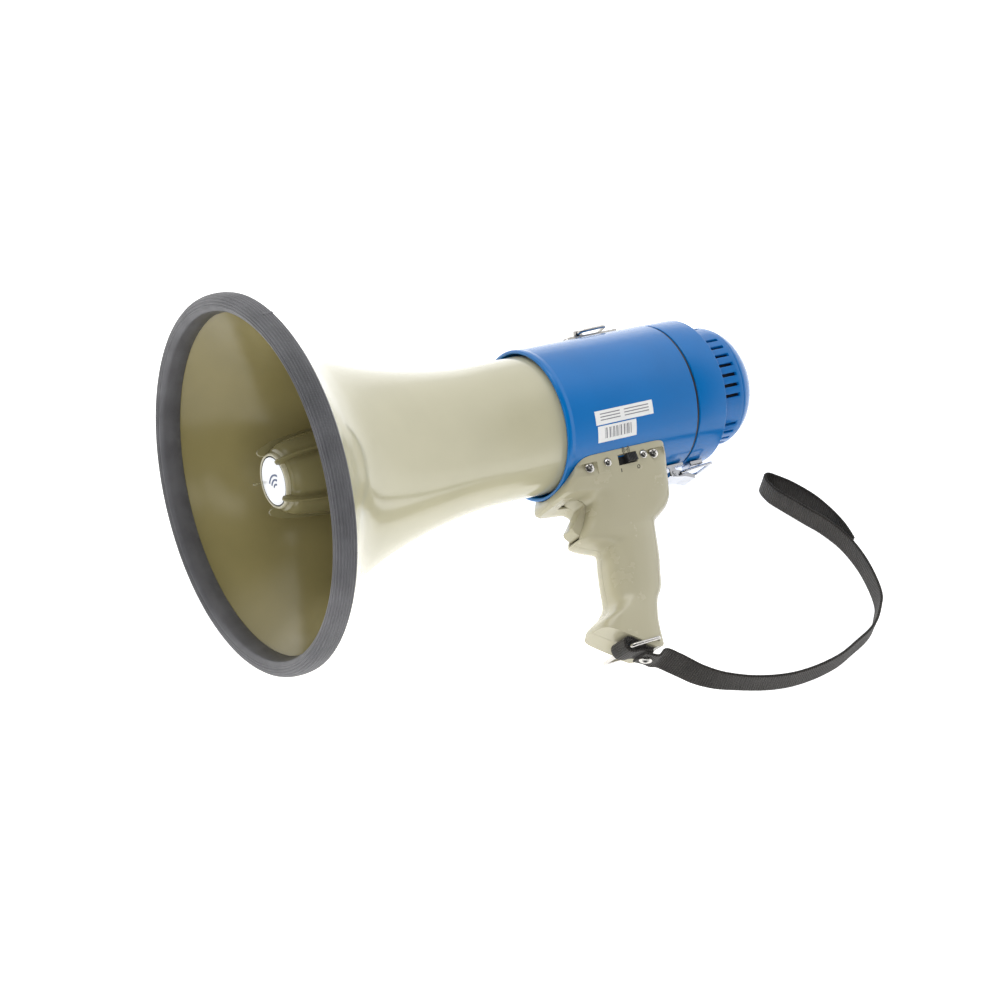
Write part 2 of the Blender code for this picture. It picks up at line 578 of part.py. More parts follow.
# --------------------------------------------------------- draw latch (bottom)
# base and lever on the housing, hook on the rear cap, wire loop between them
z0 = -BARREL_R - 0.4
base_plate = box('latch_base', (284.0, 297.0), (-8.2, 8.2), (z0 - 1.4, z0),
                 'bright_metal')
hole = cylinder('latch_eye', (LATCH[0], -12.0, LATCH[1]), (LATCH[0], 12.0, LATCH[1]),
                1.35, 12)
for i, y in enumerate((-8.2, 7.3)):
    cut(base_plate, box('latch_ear_%d' % i, (285.2, 289.6), (y, y + 0.9),
                        (-56.0, z0 - 0.7)), 'UNION')
cut(base_plate, hole)
box('latch_hook', (304.4, 315.0), (-5.4, 5.4), (-CAP_R - 3.6, -CAP_R - 0.3),
    'bright_metal', bevel=0.6)
lever = prism('latch_lever', [(284.6, -55.6), (285.4, -52.6), (290.5, -52.0),
                              (297.6, -54.6), (303.5, -58.6), (302.6, -60.6),
                              (296.6, -58.0), (290.0, -57.0)], -7.0, 7.0,
              'bright_metal', origin=(LATCH[0], 0.0, LATCH[1]))
cut(lever, hole)
cut(lever, cylinder('loop_eye', (LOOP[0], -10.0, LOOP[1]), (LOOP[0], 10.0, LOOP[1]),
                    1.25, 12))
cylinder('latch_pin', (LATCH[0], -8.6, LATCH[1]), (LATCH[0], 8.6, LATCH[1]), 1.0, 12,
         'bright_metal', origin=(LATCH[0], 0.0, LATCH[1]))
wire('latch_loop', bend([(LOOP[0], -4.6, LOOP[1]), (LOOP[0], -9.8, LOOP[1]),
                         (318.0, -9.8, -53.9), (318.0, 9.8, -53.9),
                         (LOOP[0], 9.8, LOOP[1]), (LOOP[0], 4.6, LOOP[1])], 1.6, 2),
     0.9, 'bright_metal', origin=(LOOP[0], 0.0, LOOP[1]), fine=1)

# ----------------------------------------- strap bracket and D-ring (on top)
zt = BARREL_R + 0.4
bracket = prism('top_bracket', [(250.0, zt), (289.0, zt), (289.0, zt + 1.4),
                                (262.5, zt + 1.4), (261.0, zt + 5.0),
                                (256.4, zt + 5.0), (255.0, zt + 1.4),
                                (250.0, zt + 1.4)], -6.5, 6.5, 'bright_metal')
cut(bracket, cylinder('ring_eye', (258.8, -10.0, zt + 2.7),
                      (258.8, 10.0, zt + 2.7), 1.6, 10))
wire('top_d_ring', bend([(258.8, -0.4, zt + 2.7), (258.8, -10.5, zt + 2.7),
                         (279.0, -10.5, zt + 3.4), (279.0, 10.5, zt + 3.4),
                         (258.8, 10.5, zt + 2.7), (258.8, 0.4, zt + 2.7)], 3.0, 3),
     1.1, 'bright_metal', origin=(258.8, 0.0, zt + 2.7), fine=1)
for i, x in enumerate((252.4, 284.4)):
    sc = lathe('bracket_screw_%d' % (i + 1),
               [(0.0, 0.0), (0.0, 1.2), (0.6, 2.2), (1.3, 2.2), (1.3, 0.0)],
               'bright_metal', seg=10)
    sc.location = (x * MM, 0.0, (zt + 3.1) * MM)
    sc.rotation_euler = (0.0, math.radians(90.0), 0.0)

# ------------------------------------------------ wire bail at the foot
s = BAIL_Y
wire('foot_bail', bend([(BAIL_PIVOT[0], -14.6, BAIL_PIVOT[1]),
                        (BAIL_PIVOT[0], -s, BAIL_PIVOT[1]),
                        (BAIL_BAR[0], -s, BAIL_BAR[1]),
                        (BAIL_BAR[0], s, BAIL_BAR[1]),
                        (BAIL_PIVOT[0], s, BAIL_PIVOT[1]),
                        (BAIL_PIVOT[0], 14.6, BAIL_PIVOT[1])], 2.6, 3),
     BAIL_D / 2, 'bright_metal', origin=(BAIL_PIVOT[0], 0.0, BAIL_PIVOT[1]))


# ------------------------------------------------------------ lay it down
def points(names):
    """Evaluated vertices in design axes, in millimetres."""
    bpy.context.view_layer.update()
    dg = bpy.context.evaluated_depsgraph_get()
    out = []
    for nm in names:
        ev = OBJ[nm].evaluated_get(dg)
        me = ev.to_mesh()
        co = np.array([(ev.matrix_world @ v.co)[:] for v in me.vertices])
        ev.to_mesh_clear()
        out.append(co / MM)
    return np.vstack(out)


def sky(lean, roll):
    """Unit vector that will point up, for a lean of the horn axis and a roll."""
    return np.array([-math.sin(lean), -math.cos(lean) * math.cos(roll),
                     math.cos(lean) * math.sin(roll)])


def lay_down():
    """Lean and roll at which the rim, the rear housing and the foot bail all
    touch the floor together."""
    rim = points(['rim_trim'])
    rear = points(['rear_cap', 'barrel_housing'])
    rear = rear[rear[:, 0] > 290.0]
    foot = points(['foot_bail'])
    lean, roll = 0.21, 0.36
    for _ in range(40):
        for part in ('lean', 'roll'):
            lo, hi = 0.0, 0.6
            for _ in range(40):
                mid = (lo + hi) / 2
                n = sky(mid, roll) if part == 'lean' else sky(lean, mid)
                other = rear if part == 'lean' else foot
                if (other @ n).min() > (rim @ n).min():
                    lo = mid
                else:
                    hi = mid
            if part == 'lean':
                lean = (lo + hi) / 2
            else:
                roll = (lo + hi) / 2
    n = sky(lean, roll)
    xw = np.array([1.0, 0.0, 0.0]) - n * n[0]
    xw /= np.linalg.norm(xw)
    return np.stack([xw, np.cross(n, xw), n])


ROT = lay_down()
world = points(list(OBJ)) @ ROT.T
SHIFT = np.array([(world[:, 0].min() + world[:, 0].max()) / 2,
                  (world[:, 1].min() + world[:, 1].max()) / 2,
                  world[:, 2].min()])
pose = Matrix([list(r) + [0.0] for r in ROT.tolist()] + [[0.0, 0.0, 0.0, 1.0]])
AXES.matrix_world = Matrix.Translation(tuple(-c * MM for c in SHIFT)) @ pose
bpy.context.view_layer.update()

# ------------------------------------------------------------- wrist strap
# The webbing stands on its edge on the floor: a single band from the rivet, out
# and round into a narrow hand loop whose end is sewn to the band's outer face.
# A short folded tab of the same webbing holds it to the bail's bar.


def down(p):
    return np.array(p, float) @ ROT.T - SHIFT


def smooth(pts, step):
    """Catmull-Rom curve through the points, read off about every `step`."""
    p = np.array(pts, float)
    p = np.vstack([2 * p[0] - p[1], p, 2 * p[-1] - p[-2]])
    fine = []
    for i in range(1, len(p) - 2):
        a, b, c, d = p[i - 1:i + 3]
        for k in range(16):
            t = k / 16.0
            fine.append(0.5 * (2 * b + (c - a) * t + (2 * a - 5 * b + 4 * c - d) * t * t
                               + (3 * b - a - 3 * c + d) * t ** 3))
    fine.append(p[-2])
    fine = np.array(fine)
    s = np.concatenate([[0], np.cumsum(np.linalg.norm(np.diff(fine, axis=0), axis=1))])
    m = max(2, int(round(s[-1] / step)))
    t = np.linspace(0, s[-1], m + 1)
    return np.stack([np.interp(t, s, fine[:, k]) for k in range(fine.shape[1])], 1)


def band(name, path, across, width, thick, mat, parent=False):
    """Flat band along a path; `across` is the direction of its width."""
    rows = []
    for i, p in enumerate(path):
        t = path[min(i + 1, len(path) - 1)] - path[max(i - 1, 0)]
        t = t / np.linalg.norm(t)
        w = across[i] - t * (across[i] @ t)
        w = w / np.linalg.norm(w)
        n = np.cross(w, t)
        h, k = w * width / 2, n * thick / 2
        rows.append([p - h - k, p + h - k, p + h + k, p - h + k])
    return sweep(name, rows, mat, parent=parent)


bar_up = ROT @ np.array([0.0, -1.0, 0.0])           # along the bail's bar, upward
hub = down((BAIL_BAR[0], TAB_Y, BAIL_BAR[1]))       # where the webbing grips it
lead = np.array(STRAP_LEAD)
lead = lead - bar_up * (lead @ bar_up)
lead = lead / np.linalg.norm(lead)
side = np.cross(lead, bar_up)                       # face that the rivet shows on
side = side if side[1] < 0 else -side

tab = [(16.0, -0.1), (14.0, -0.1), (10.6, -0.1), (7.4, 0.5), (4.2, 1.9), (1.2, 2.35),
       (-1.3, 2.1), (-3.0, 0.6), (-4.1, -1.6), (-4.0, -3.8), (-2.5, -5.4),
       (0.2, -5.9), (3.6, -5.2), (8.0, -3.4), (11.5, -2.2), (14.0, -2.1),
       (16.0, -2.1)]
tab_path = np.array([hub + lead * a + side * b for a, b in tab])
band('strap_tab', tab_path, [bar_up] * len(tab_path), STRAP_W, 1.6, 'webbing_black')

start = [hub + lead * a + side * b for a, b in ((10.8, 1.95), (15.0, 1.95), (21.0, 1.95))]
route = smooth(start + [np.array(p, float) for p in STRAP_ROUTE], 5.0)
run = np.concatenate([[0], np.cumsum(np.linalg.norm(np.diff(route, axis=0), axis=1))])
across = []
for d in run:
    k = min(1.0, max(0.0, (d - 17.0) / 48.0))
    k = k * k * (3 - 2 * k)
    across.append(bar_up * (1 - k) + np.array([0.0, 0.0, 1.0]) * k)
band('wrist_strap', route, across, STRAP_W, STRAP_T, 'webbing_black')

rivet = lathe('strap_rivet', [(0.0, 0.0), (0.0, 1.6), (0.5, 3.2), (1.0, 3.8),
                              (1.3, 3.8), (1.3, 0.0)], 'bright_metal', seg=16)
rivet.parent = None
rivet.location = tuple((hub + lead * 15.0 + side * 4.3) * MM)
rivet.rotation_euler = Vector((-1, 0, 0)).rotation_difference(
    Vector(tuple(side))).to_euler()
bpy.context.view_layer.update()
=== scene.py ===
import math

import bmesh
import bpy
import numpy as np
from mathutils import Matrix, Vector


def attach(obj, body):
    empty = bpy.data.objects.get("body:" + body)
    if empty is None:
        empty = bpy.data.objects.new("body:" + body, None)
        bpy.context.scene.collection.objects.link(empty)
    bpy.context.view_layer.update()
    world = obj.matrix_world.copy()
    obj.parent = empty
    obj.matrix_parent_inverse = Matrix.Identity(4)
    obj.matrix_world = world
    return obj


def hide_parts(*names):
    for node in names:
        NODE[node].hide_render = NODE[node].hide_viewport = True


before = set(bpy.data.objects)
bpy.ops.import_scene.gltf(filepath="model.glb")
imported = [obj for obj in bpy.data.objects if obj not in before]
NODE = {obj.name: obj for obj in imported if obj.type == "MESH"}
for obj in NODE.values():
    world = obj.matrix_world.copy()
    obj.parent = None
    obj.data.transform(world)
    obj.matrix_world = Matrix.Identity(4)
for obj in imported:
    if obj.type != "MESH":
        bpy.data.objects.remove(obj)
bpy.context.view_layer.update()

# ------------------------------------------------------------------ the frame
# design axes of the megaphone (mm): x rear along the horn, y right, z up
ROT = np.array([[0.97735341, -0.20000665, 0.06912059],
                [0.0, 0.32663587, 0.94515026],
                [-0.21161360, -0.92374583, 0.31923868]])
SHIFT = np.array([166.521618, -21.138548, -115.107933])


def W(p):
    return (np.asarray(p, float) @ ROT.T - SHIFT) * 0.001


BELL = [(3.5, 112.2), (6, 110.6), (10, 106.8), (15, 101.2), (22, 93.3),
        (31, 84.7), (43, 75.9), (60, 67.2), (80, 59.4), (103, 52.8),
        (128, 47.8), (152, 45.0), (175, 44.4), (213, 44.9)]
BULLET = [(20.4, 17.4), (21.2, 18.7), (22.5, 19.6), (27, 21.8), (40, 24.0),
          (62, 26.0), (88, 27.6), (112, 28.6)]
DOME = [(345.25, 38.6), (347.5, 38.4), (351.5, 36.2), (356, 32.2),
        (360.5, 26.4), (364, 19.5), (366.3, 11.5), (367.2, 0.0)]
BARREL_R, BARREL_IN, BX0, BX1 = 48.3, 46.1, 198.0, 299.6
CAP_X, CAP_R = (301.7, 324.3), 48.0
COL_X, COL_R, COL_IN = (324.7, 344.9), 39.5, 36.9
SCREW_Z, KNOB_X = -43.4, 242.2
PIVOT = (213.5, -55.3)
TRIGGER = [(205.4, -52.4), (214.2, -60.0), (199.4, -73.2), (199.6, -75.8),
           (202.6, -79.6), (207.4, -79.0), (215.5, -68.5), (219.6, -60.0),
           (219.6, -51.8), (209.0, -51.4)]
BAIL_PIVOT, BAIL_BAR, BAIL_Y, BAIL_D = (222.0, -156.6), (201.0, -156.6), 19.0, 2.4
SECTIONS = [(-28.0, 211.0, 274.5, 34.5, 12.0), (-36.0, 206.7, 274.5, 32.0, 12.0),
            (-44.0, 201.0, 274.5, 29.4, 12.0), (-53.5, 194.6, 274.5, 25.6, 9.0),
            (-55.2, 196.0, 274.6, 25.0, 8.0), (-57.0, 211.5, 274.7, 24.2, 7.0),
            (-61.5, 214.5, 274.9, 22.4, 6.0), (-68.0, 211.0, 274.6, 20.2, 5.0),
            (-74.0, 206.5, 271.6, 18.6, 4.2), (-79.0, 202.0, 264.6, 17.6, 3.8),
            (-82.0, 200.2, 259.6, 17.0, 3.4), (-86.0, 206.0, 258.0, 16.6, 3.2),
            (-91.0, 216.6, 257.0, 16.2, 2.8), (-102.0, 213.0, 254.6, 16.0, 2.6),
            (-114.0, 209.6, 250.2, 16.0, 2.6), (-125.0, 207.2, 245.0, 16.2, 2.8),
            (-130.5, 202.0, 239.2, 16.8, 3.2), (-136.5, 191.0, 235.2, 17.4, 4.0),
            (-145.0, 187.0, 231.6, 17.5, 4.5), (-168.0, 184.0, 227.6, 17.5, 4.5)]
BASE_CUT = [(170.0, -125.5), (209.0, -153.5), (214.0, -158.2), (218.5, -161.2),
            (224.0, -161.6), (228.4, -158.8), (250.0, -152.0), (250.0, -190.0),
            (170.0, -190.0)]
STRAP_W, STRAP_T, TAB_Y = 17.4, 1.8, -8.2
STRAP_LEAD = (24.1, -11.1, -10.2)
STRAP_ROUTE = [(44, -139, 20.5), (51, -142.5, 17.3), (57.5, -146.6, 14.3),
               (65, -152, 11.6), (75, -159.5, 9.8), (87, -166.5, 9.2),
               (97, -171.5, 9.1), (107, -175.5, 9.1), (118, -178.5, 9.1),
               (129, -180, 9.1), (141, -180.3, 9.1), (154, -179, 9.1),
               (168, -175, 9.1), (179, -171.5, 9.1), (187.6, -166.8, 9.1),
               (196, -158.8, 9.1), (201.4, -151.5, 9.1), (205.3, -138.4, 9.1),
               (207.6, -123, 9.1), (206.6, -106.1, 9.1), (201.4, -91, 9.1),
               (195.7, -80.4, 9.1), (190.3, -70.1, 9.1), (186.3, -62.4, 9.1),
               (183.2, -56.2, 9.1), (182, -51.2, 9.1), (181.7, -47, 9.1),
               (183, -43.6, 9.1), (186, -43.6, 9.1), (189.4, -47.2, 9.1),
               (195.5, -54.8, 9.1), (201.2, -64.5, 9.1), (205.5, -74, 9.1),
               (208.7, -86, 9.1), (210.2, -96, 9.1), (210.2, -103, 9.1),
               (209.5, -109.9, 9.1)]


# ------------------------------------------------------------------ materials
def new_mat(name):
    m = bpy.data.materials.new(name)
    m.use_nodes = True
    nt = m.node_tree
    return m, nt, nt.nodes['Principled BSDF']


def noise(nt, scale, detail=4.0, rough=0.5, coord='Object'):
    tc = nt.nodes.new('ShaderNodeTexCoord')
    n = nt.nodes.new('ShaderNodeTexNoise')
    n.inputs['Scale'].default_value = scale
    n.inputs['Detail'].default_value = detail
    n.inputs['Roughness'].default_value = rough
    nt.links.new(tc.outputs[coord], n.inputs['Vector'])
    return n


def spread(nt, src, lo, hi, a=0.35, b=0.65):
    r = nt.nodes.new('ShaderNodeMapRange')
    r.inputs['From Min'].default_value = a
    r.inputs['From Max'].default_value = b
    r.inputs['To Min'].default_value = lo
    r.inputs['To Max'].default_value = hi
    nt.links.new(src, r.inputs['Value'])
    return r.outputs['Result']


def mix(nt, fac, a, b):
    x = nt.nodes.new('ShaderNodeMix')
    x.data_type = 'RGBA'
    for sock, v in ((x.inputs[6], a), (x.inputs[7], b)):
        if isinstance(v, (tuple, list)):
            sock.default_value = (v[0], v[1], v[2], 1.0)
        else:
            nt.links.new(v, sock)
    nt.links.new(fac, x.inputs[0])
    return x.outputs[2]


def surface(name, rgb, rough, metal=0.0, mottle=0.05, patch=22.0, grain=1400.0,
            bump=0.04, coat=0.0, spec=0.5, worn=None, scuff=0.0):
    """Moulded or metal finish: slow colour drift, fine grain, uneven gloss and
    paler, rubbed edges."""
    m, nt, b = new_mat(name)
    big = noise(nt, patch, 3.0)
    lo = tuple(c * (1 - mottle) for c in rgb)
    hi = tuple(min(1.0, c * (1 + mottle)) for c in rgb)
    col = mix(nt, spread(nt, big.outputs['Fac'], 0, 1), lo, hi)
    if worn:
        geo = nt.nodes.new('ShaderNodeNewGeometry')
        rub = noise(nt, 160.0, 5.0, 0.65)
        edge = spread(nt, geo.outputs['Pointiness'], 0.0, 1.0, 0.53, 0.6)
        mul = nt.nodes.new('ShaderNodeMath')
        mul.operation = 'MULTIPLY'
        nt.links.new(edge, mul.inputs[0])
        nt.links.new(spread(nt, rub.outputs['Fac'], 0.0, 0.6, 0.4, 0.6), mul.inputs[1])
        col = mix(nt, mul.outputs[0], col, worn)
    nt.links.new(col, b.inputs['Base Color'])
    mid = noise(nt, 75.0, 5.0, 0.6)
    nt.links.new(spread(nt, mid.outputs['Fac'], rough * 0.86, rough * 1.16 + scuff),
                 b.inputs['Roughness'])
    fine = noise(nt, grain, 2.0)
    bp = nt.nodes.new('ShaderNodeBump')
    bp.inputs['Strength'].default_value = bump
    bp.inputs['Distance'].default_value = 0.0004
    nt.links.new(fine.outputs['Fac'], bp.inputs['Height'])
    nt.links.new(bp.outputs['Normal'], b.inputs['Normal'])
    b.inputs['Metallic'].default_value = metal
    b.inputs['Specular IOR Level'].default_value = spec
    b.inputs['Coat Weight'].default_value = coat
    b.inputs['Coat Roughness'].default_value = 0.06
    return m


CREAM = surface('horn_cream', (0.50, 0.475, 0.33), 0.13, mottle=0.025, bump=0.012,
                coat=0.4)
# darker olive copy of the cream plastic: painted shade for the horn's inside, which is the same
# plastic as the outside
SHADED_CREAM = surface('horn_inside_painted_shade', (0.235, 0.200, 0.083), 0.20, mottle=0.05, bump=0.01,
                spec=0.35)
BULLETM = surface('bullet_plastic', (0.20, 0.178, 0.085), 0.22, mottle=0.06, bump=0.03,
                  coat=0.2)
BLUE = surface('housing_blue', (0.0006, 0.150, 0.46), 0.16, mottle=0.04, bump=0.015,
               coat=0.0, spec=0.4)
BEIGE = surface('grip_beige', (0.46, 0.43, 0.305), 0.24, mottle=0.025, bump=0.012,
                grain=900.0, coat=0.1)
RUBBER = surface('rim_rubber', (0.092, 0.092, 0.10), 0.42, mottle=0.14, patch=60,
                 bump=0.16, grain=700.0, worn=(0.15, 0.15, 0.16))
BLACK = surface('black_plastic', (0.012, 0.012, 0.013), 0.38, mottle=0.2, bump=0.1,
                worn=(0.05, 0.05, 0.05))
NICKEL = surface('nickel_plate', (0.66, 0.64, 0.61), 0.20, metal=1.0, mottle=0.08,
                 patch=300, bump=0.05, scuff=0.08)
CHROME = surface('latch_chrome', (0.62, 0.63, 0.66), 0.10, metal=1.0, mottle=0.05,
                 patch=240, bump=0.04, scuff=0.06)
STEEL = surface('spring_steel', (0.56, 0.56, 0.57), 0.28, metal=1.0, mottle=0.08,
                patch=400, bump=0.05)
FERRITE = surface('ferrite_dark', (0.05, 0.05, 0.055), 0.5, metal=0.4, mottle=0.2,
                  patch=200, bump=0.2)
BADGE = surface('badge_silver', (0.76, 0.78, 0.80), 0.22, metal=0.25, mottle=0.03,
                patch=120, bump=0.02, coat=0.4)
INK = surface('badge_ink', (0.035, 0.06, 0.15), 0.3, mottle=0.1, patch=300)
BOARD = surface('board_green', (0.02, 0.16, 0.06), 0.4, mottle=0.25, patch=350)
CELL = surface('cell_wrap', (0.06, 0.06, 0.07), 0.3, mottle=0.15, patch=60)
FOAM = surface('foam_black', (0.02, 0.02, 0.02), 0.95, mottle=0.4, patch=900,
               bump=0.9, grain=600.0)
PAPER = surface('sticker_paper', (0.84, 0.84, 0.83), 0.45, mottle=0.025, patch=90,
                bump=0.03)
PRINT = surface('sticker_print', (0.20, 0.20, 0.22), 0.5, mottle=0.15, patch=500)
MARK = surface('switch_marks', (0.035, 0.033, 0.03), 0.5, mottle=0.2, patch=500)
THREAD = surface('strap_thread', (0.055, 0.05, 0.045), 0.8, mottle=0.3, patch=900,
                 bump=0.5)
# flat near-black used as painted shade in slots and grooves
PAINTED_SHADE = surface('slot_shadow', (0.01, 0.012, 0.016), 0.7, mottle=0.2, patch=200)


def webbing():
    """Narrow woven tape: weft ribs across it, warp cords along it, in UV
    millimetres."""
    m, nt, b = new_mat('strap_webbing')
    tc = nt.nodes.new('ShaderNodeTexCoord')
    sep = nt.nodes.new('ShaderNodeSeparateXYZ')
    nt.links.new(tc.outputs['UV'], sep.inputs[0])

    def op(kind, a, c=None):
        x = nt.nodes.new('ShaderNodeMath')
        x.operation = kind
        for i, v in enumerate((a, c)):
            if v is None:
                continue
            if isinstance(v, (int, float)):
                x.inputs[i].default_value = v
            else:
                nt.links.new(v, x.inputs[i])
        return x.outputs[0]

    u = op('MULTIPLY', sep.outputs[0], 100.0)     # mm across
    v = op('MULTIPLY', sep.outputs[1], 1000.0)    # mm along
    warp_phase = op('MULTIPLY', op('FLOOR', op('DIVIDE', u, 1.15)), math.pi)
    weft = op('SINE', op('ADD', op('MULTIPLY', v, 2 * math.pi / 3.0), warp_phase))
    rib = op('SINE', op('MULTIPLY', v, 2 * math.pi / 1.5))
    warp = op('ABSOLUTE', op('SINE', op('MULTIPLY', u, math.pi / 1.15)))
    h = op('ADD', op('MULTIPLY', weft, 0.3), op('ADD', op('MULTIPLY', rib, 0.5),
                                                 op('MULTIPLY', warp, 0.35)))
    fuzz = noise(nt, 2600.0, 3.0, 0.7)
    h2 = op('ADD', h, op('MULTIPLY', fuzz.outputs['Fac'], 0.5))
    bp = nt.nodes.new('ShaderNodeBump')
    bp.inputs['Strength'].default_value = 0.9
    bp.inputs['Distance'].default_value = 0.00035
    nt.links.new(h2, bp.inputs['Height'])
    nt.links.new(bp.outputs['Normal'], b.inputs['Normal'])
    tone = op('ADD', op('MULTIPLY', h, 0.35), op('MULTIPLY', noise(nt, 90.0).outputs['Fac'], 0.7))
    col = mix(nt, spread(nt, tone, 0, 1, 0.1, 0.95), (0.008, 0.007, 0.006),
              (0.050, 0.044, 0.038))
    nt.links.new(col, b.inputs['Base Color'])
    nt.links.new(spread(nt, fuzz.outputs['Fac'], 0.62, 0.85), b.inputs['Roughness'])
    b.inputs['Sheen Weight'].default_value = 0.12
    b.inputs['Sheen Roughness'].default_value = 0.4
    return m


WEB = webbing()


# -------------------------------------------------------------------- helpers
def build(name, verts, faces, mats, body, replaces=(), world=False, sharp=35.0,
          face_mat=None, uv=None, recalc=True):
    co = np.asarray(verts, float)
    co = co * 0.001 if world else W(co)
    me = bpy.data.meshes.new(name)
    me.from_pydata([tuple(c) for c in co], [], [tuple(f) for f in faces])
    mats = mats if isinstance(mats, (list, tuple)) else [mats]
    for m in mats:
        me.materials.append(m)
    if face_mat is not None:
        me.polygons.foreach_set('material_index', np.asarray(face_mat, np.int32))
    if uv is not None:
        layer = me.uv_layers.new(name='UVMap')
        idx = np.zeros(len(me.loops), np.int32)
        me.loops.foreach_get('vertex_index', idx)
        layer.data.foreach_set('uv', np.asarray(uv, np.float32)[idx].ravel())
    if recalc:
        bm = bmesh.new()
        bm.from_mesh(me)
        bmesh.ops.recalc_face_normals(bm, faces=bm.faces)
        bm.to_mesh(me)
        bm.free()
    me.update()
    me.shade_smooth()
    me.set_sharp_from_angle(angle=math.radians(sharp))
    ob = bpy.data.objects.new(name, me)
    bpy.context.scene.collection.objects.link(ob)
    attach(ob, body)
    if replaces:
        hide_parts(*replaces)
    return ob


def turned(profile, seg=160, closed=True, radial=None):
    """Turn (x, r) about x; radial(angle, x, r) may change r."""
    verts, rings, faces = [], [], []
    ang = 2 * np.pi * np.arange(seg) / seg
    for x, r in profile:
        if r < 1e-6:
            rings.append([len(verts)])
            verts.append((x, 0.0, 0.0))
            continue
        rr = np.full(seg, r) if radial is None else radial(ang, x, r)
        rings.append(list(range(len(verts), len(verts) + seg)))
        verts += list(zip(np.full(seg, x), rr * np.sin(ang), rr * np.cos(ang)))
    n = len(profile)
    pairs = [(i, i + 1) for i in range(n - 1)] + ([(n - 1, 0)] if closed else [])
    owner = []
    for a, b in pairs:
        A, B = rings[a], rings[b]
        if len(A) == 1 and len(B) == 1:
            continue
        for k in range(seg):
            j = (k + 1) % seg
            if len(A) == 1:
                faces.append((A[0], B[k], B[j]))
            elif len(B) == 1:
                faces.append((A[k], A[j], B[0]))
            else:
                faces.append((A[k], A[j], B[j], B[k]))
            owner.append(a)
    return np.array(verts, float), faces, owner


def fine(pts, sub=6):
    """Catmull-Rom curve through points."""
    p = np.array(pts, float)
    p = np.vstack([2 * p[0] - p[1], p, 2 * p[-1] - p[-2]])
    out = []
    for i in range(1, len(p) - 2):
        a, b, c, d = p[i - 1:i + 3]
        for k in range(sub):
            t = k / sub
            out.append(0.5 * (2 * b + (c - a) * t + (2 * a - 5 * b + 4 * c - d) * t * t
                              + (3 * b - a - 3 * c + d) * t ** 3))
    out.append(p[-2])
    return np.array(out)


def soft(pts, r, n=4, closed=True):
    """Round the corners of a polygon, each by at most r."""
    p = [np.array(q, float) for q in pts]
    m = len(p)
    out = []
    for i in range(m):
        if not closed and i in (0, m - 1):
            out.append(p[i])
            continue
        a, b, c = p[i - 1], p[i], p[(i + 1) % m]
        la, lc = np.linalg.norm(a - b), np.linalg.norm(c - b)
        u, v = (a - b) / la, (c - b) / lc
        ang = math.acos(max(-1.0, min(1.0, float(u @ v))))
        if ang > math.radians(172):
            out.append(b)
            continue
        d = min(r / math.tan(ang / 2), 0.45 * la, 0.45 * lc)
        for k in range(n + 1):
            t = k / n
            out.append((1 - t) ** 2 * (b + u * d) + 2 * t * (1 - t) * b
                       + t ** 2 * (b + v * d))
    return out


def offset(profile, d):
    p = np.array(profile, float)
    t = np.gradient(p, axis=0)
    t /= np.linalg.norm(t, axis=1)[:, None]
    return p + d * np.stack([t[:, 1], -t[:, 0]], 1)


def tube(path, r, seg=14):
    """Round wire along a path, capped."""
    p = np.array(path, float)
    t = np.gradient(p, axis=0)
    t /= np.linalg.norm(t, axis=1)[:, None]
    ref = np.array([0.0, 0.0, 1.0]) if abs(t[0][2]) < 0.9 else np.array([1.0, 0, 0])
    n = np.cross(t[0], ref)
    n /= np.linalg.norm(n)
    verts, faces = [], []
    for i in range(len(p)):
        n = n - t[i] * (n @ t[i])
        n /= np.linalg.norm(n)
        b = np.cross(t[i], n)
        for k in range(seg):
            a = 2 * np.pi * k / seg
            verts.append(p[i] + r * (math.cos(a) * n + math.sin(a) * b))
    for i in range(len(p) - 1):
        for k in range(seg):
            j = (k + 1) % seg
            faces.append((i * seg + k, i * seg + j, (i + 1) * seg + j, (i + 1) * seg + k))
    faces.append(tuple(range(seg)))
    faces.append(tuple(range((len(p) - 1) * seg, len(p) * seg))[::-1])
    return verts, faces


def bend(points, r, n=8):
    return soft(points, r, n, closed=False)


def extrude(outline, lo, hi, axis='y'):
    """Prism from an outline: axis 'y' takes (x, z), axis 'x' takes (y, z)."""
    n = len(outline)
    if axis == 'y':
        verts = [(a, lo, b) for a, b in outline] + [(a, hi, b) for a, b in outline]
    else:
        verts = [(lo, a, b) for a, b in outline] + [(hi, a, b) for a, b in outline]
    faces = [(k, (k + 1) % n, n + (k + 1) % n, n + k) for k in range(n)]
    faces += [tuple(range(n)), tuple(range(2 * n - 1, n - 1, -1))]
    return verts, faces


def block(x, y, z):
    return extrude([(x[0], z[0]), (x[1], z[0]), (x[1], z[1]), (x[0], z[1])], y[0], y[1])


def raw(name, verts, faces, world=False):
    """Loose helper object for a boolean, removed afterwards."""
    co = np.asarray(verts, float)
    co = co * 0.001 if world else W(co)
    me = bpy.data.meshes.new(name)
    me.from_pydata([tuple(c) for c in co], [], [tuple(f) for f in faces])
    bm = bmesh.new()
    bm.from_mesh(me)
    bmesh.ops.recalc_face_normals(bm, faces=bm.faces)
    bm.to_mesh(me)
    bm.free()
    ob = bpy.data.objects.new(name, me)
    bpy.context.scene.collection.objects.link(ob)
    return ob


def carve(ob, cutters, op='DIFFERENCE'):
    for c in cutters:
        m = ob.modifiers.new(c.name, 'BOOLEAN')
        m.operation = op
        m.solver = 'EXACT'
        m.object = c
    bake(ob)


def bake(ob, sharp=35.0):
    bpy.context.view_layer.update()
    dg = bpy.context.evaluated_depsgraph_get()
    me = bpy.data.meshes.new_from_object(ob.evaluated_get(dg))
    ob.modifiers.clear()
    ob.data = me
    me.shade_smooth()
    me.set_sharp_from_angle(angle=math.radians(sharp))


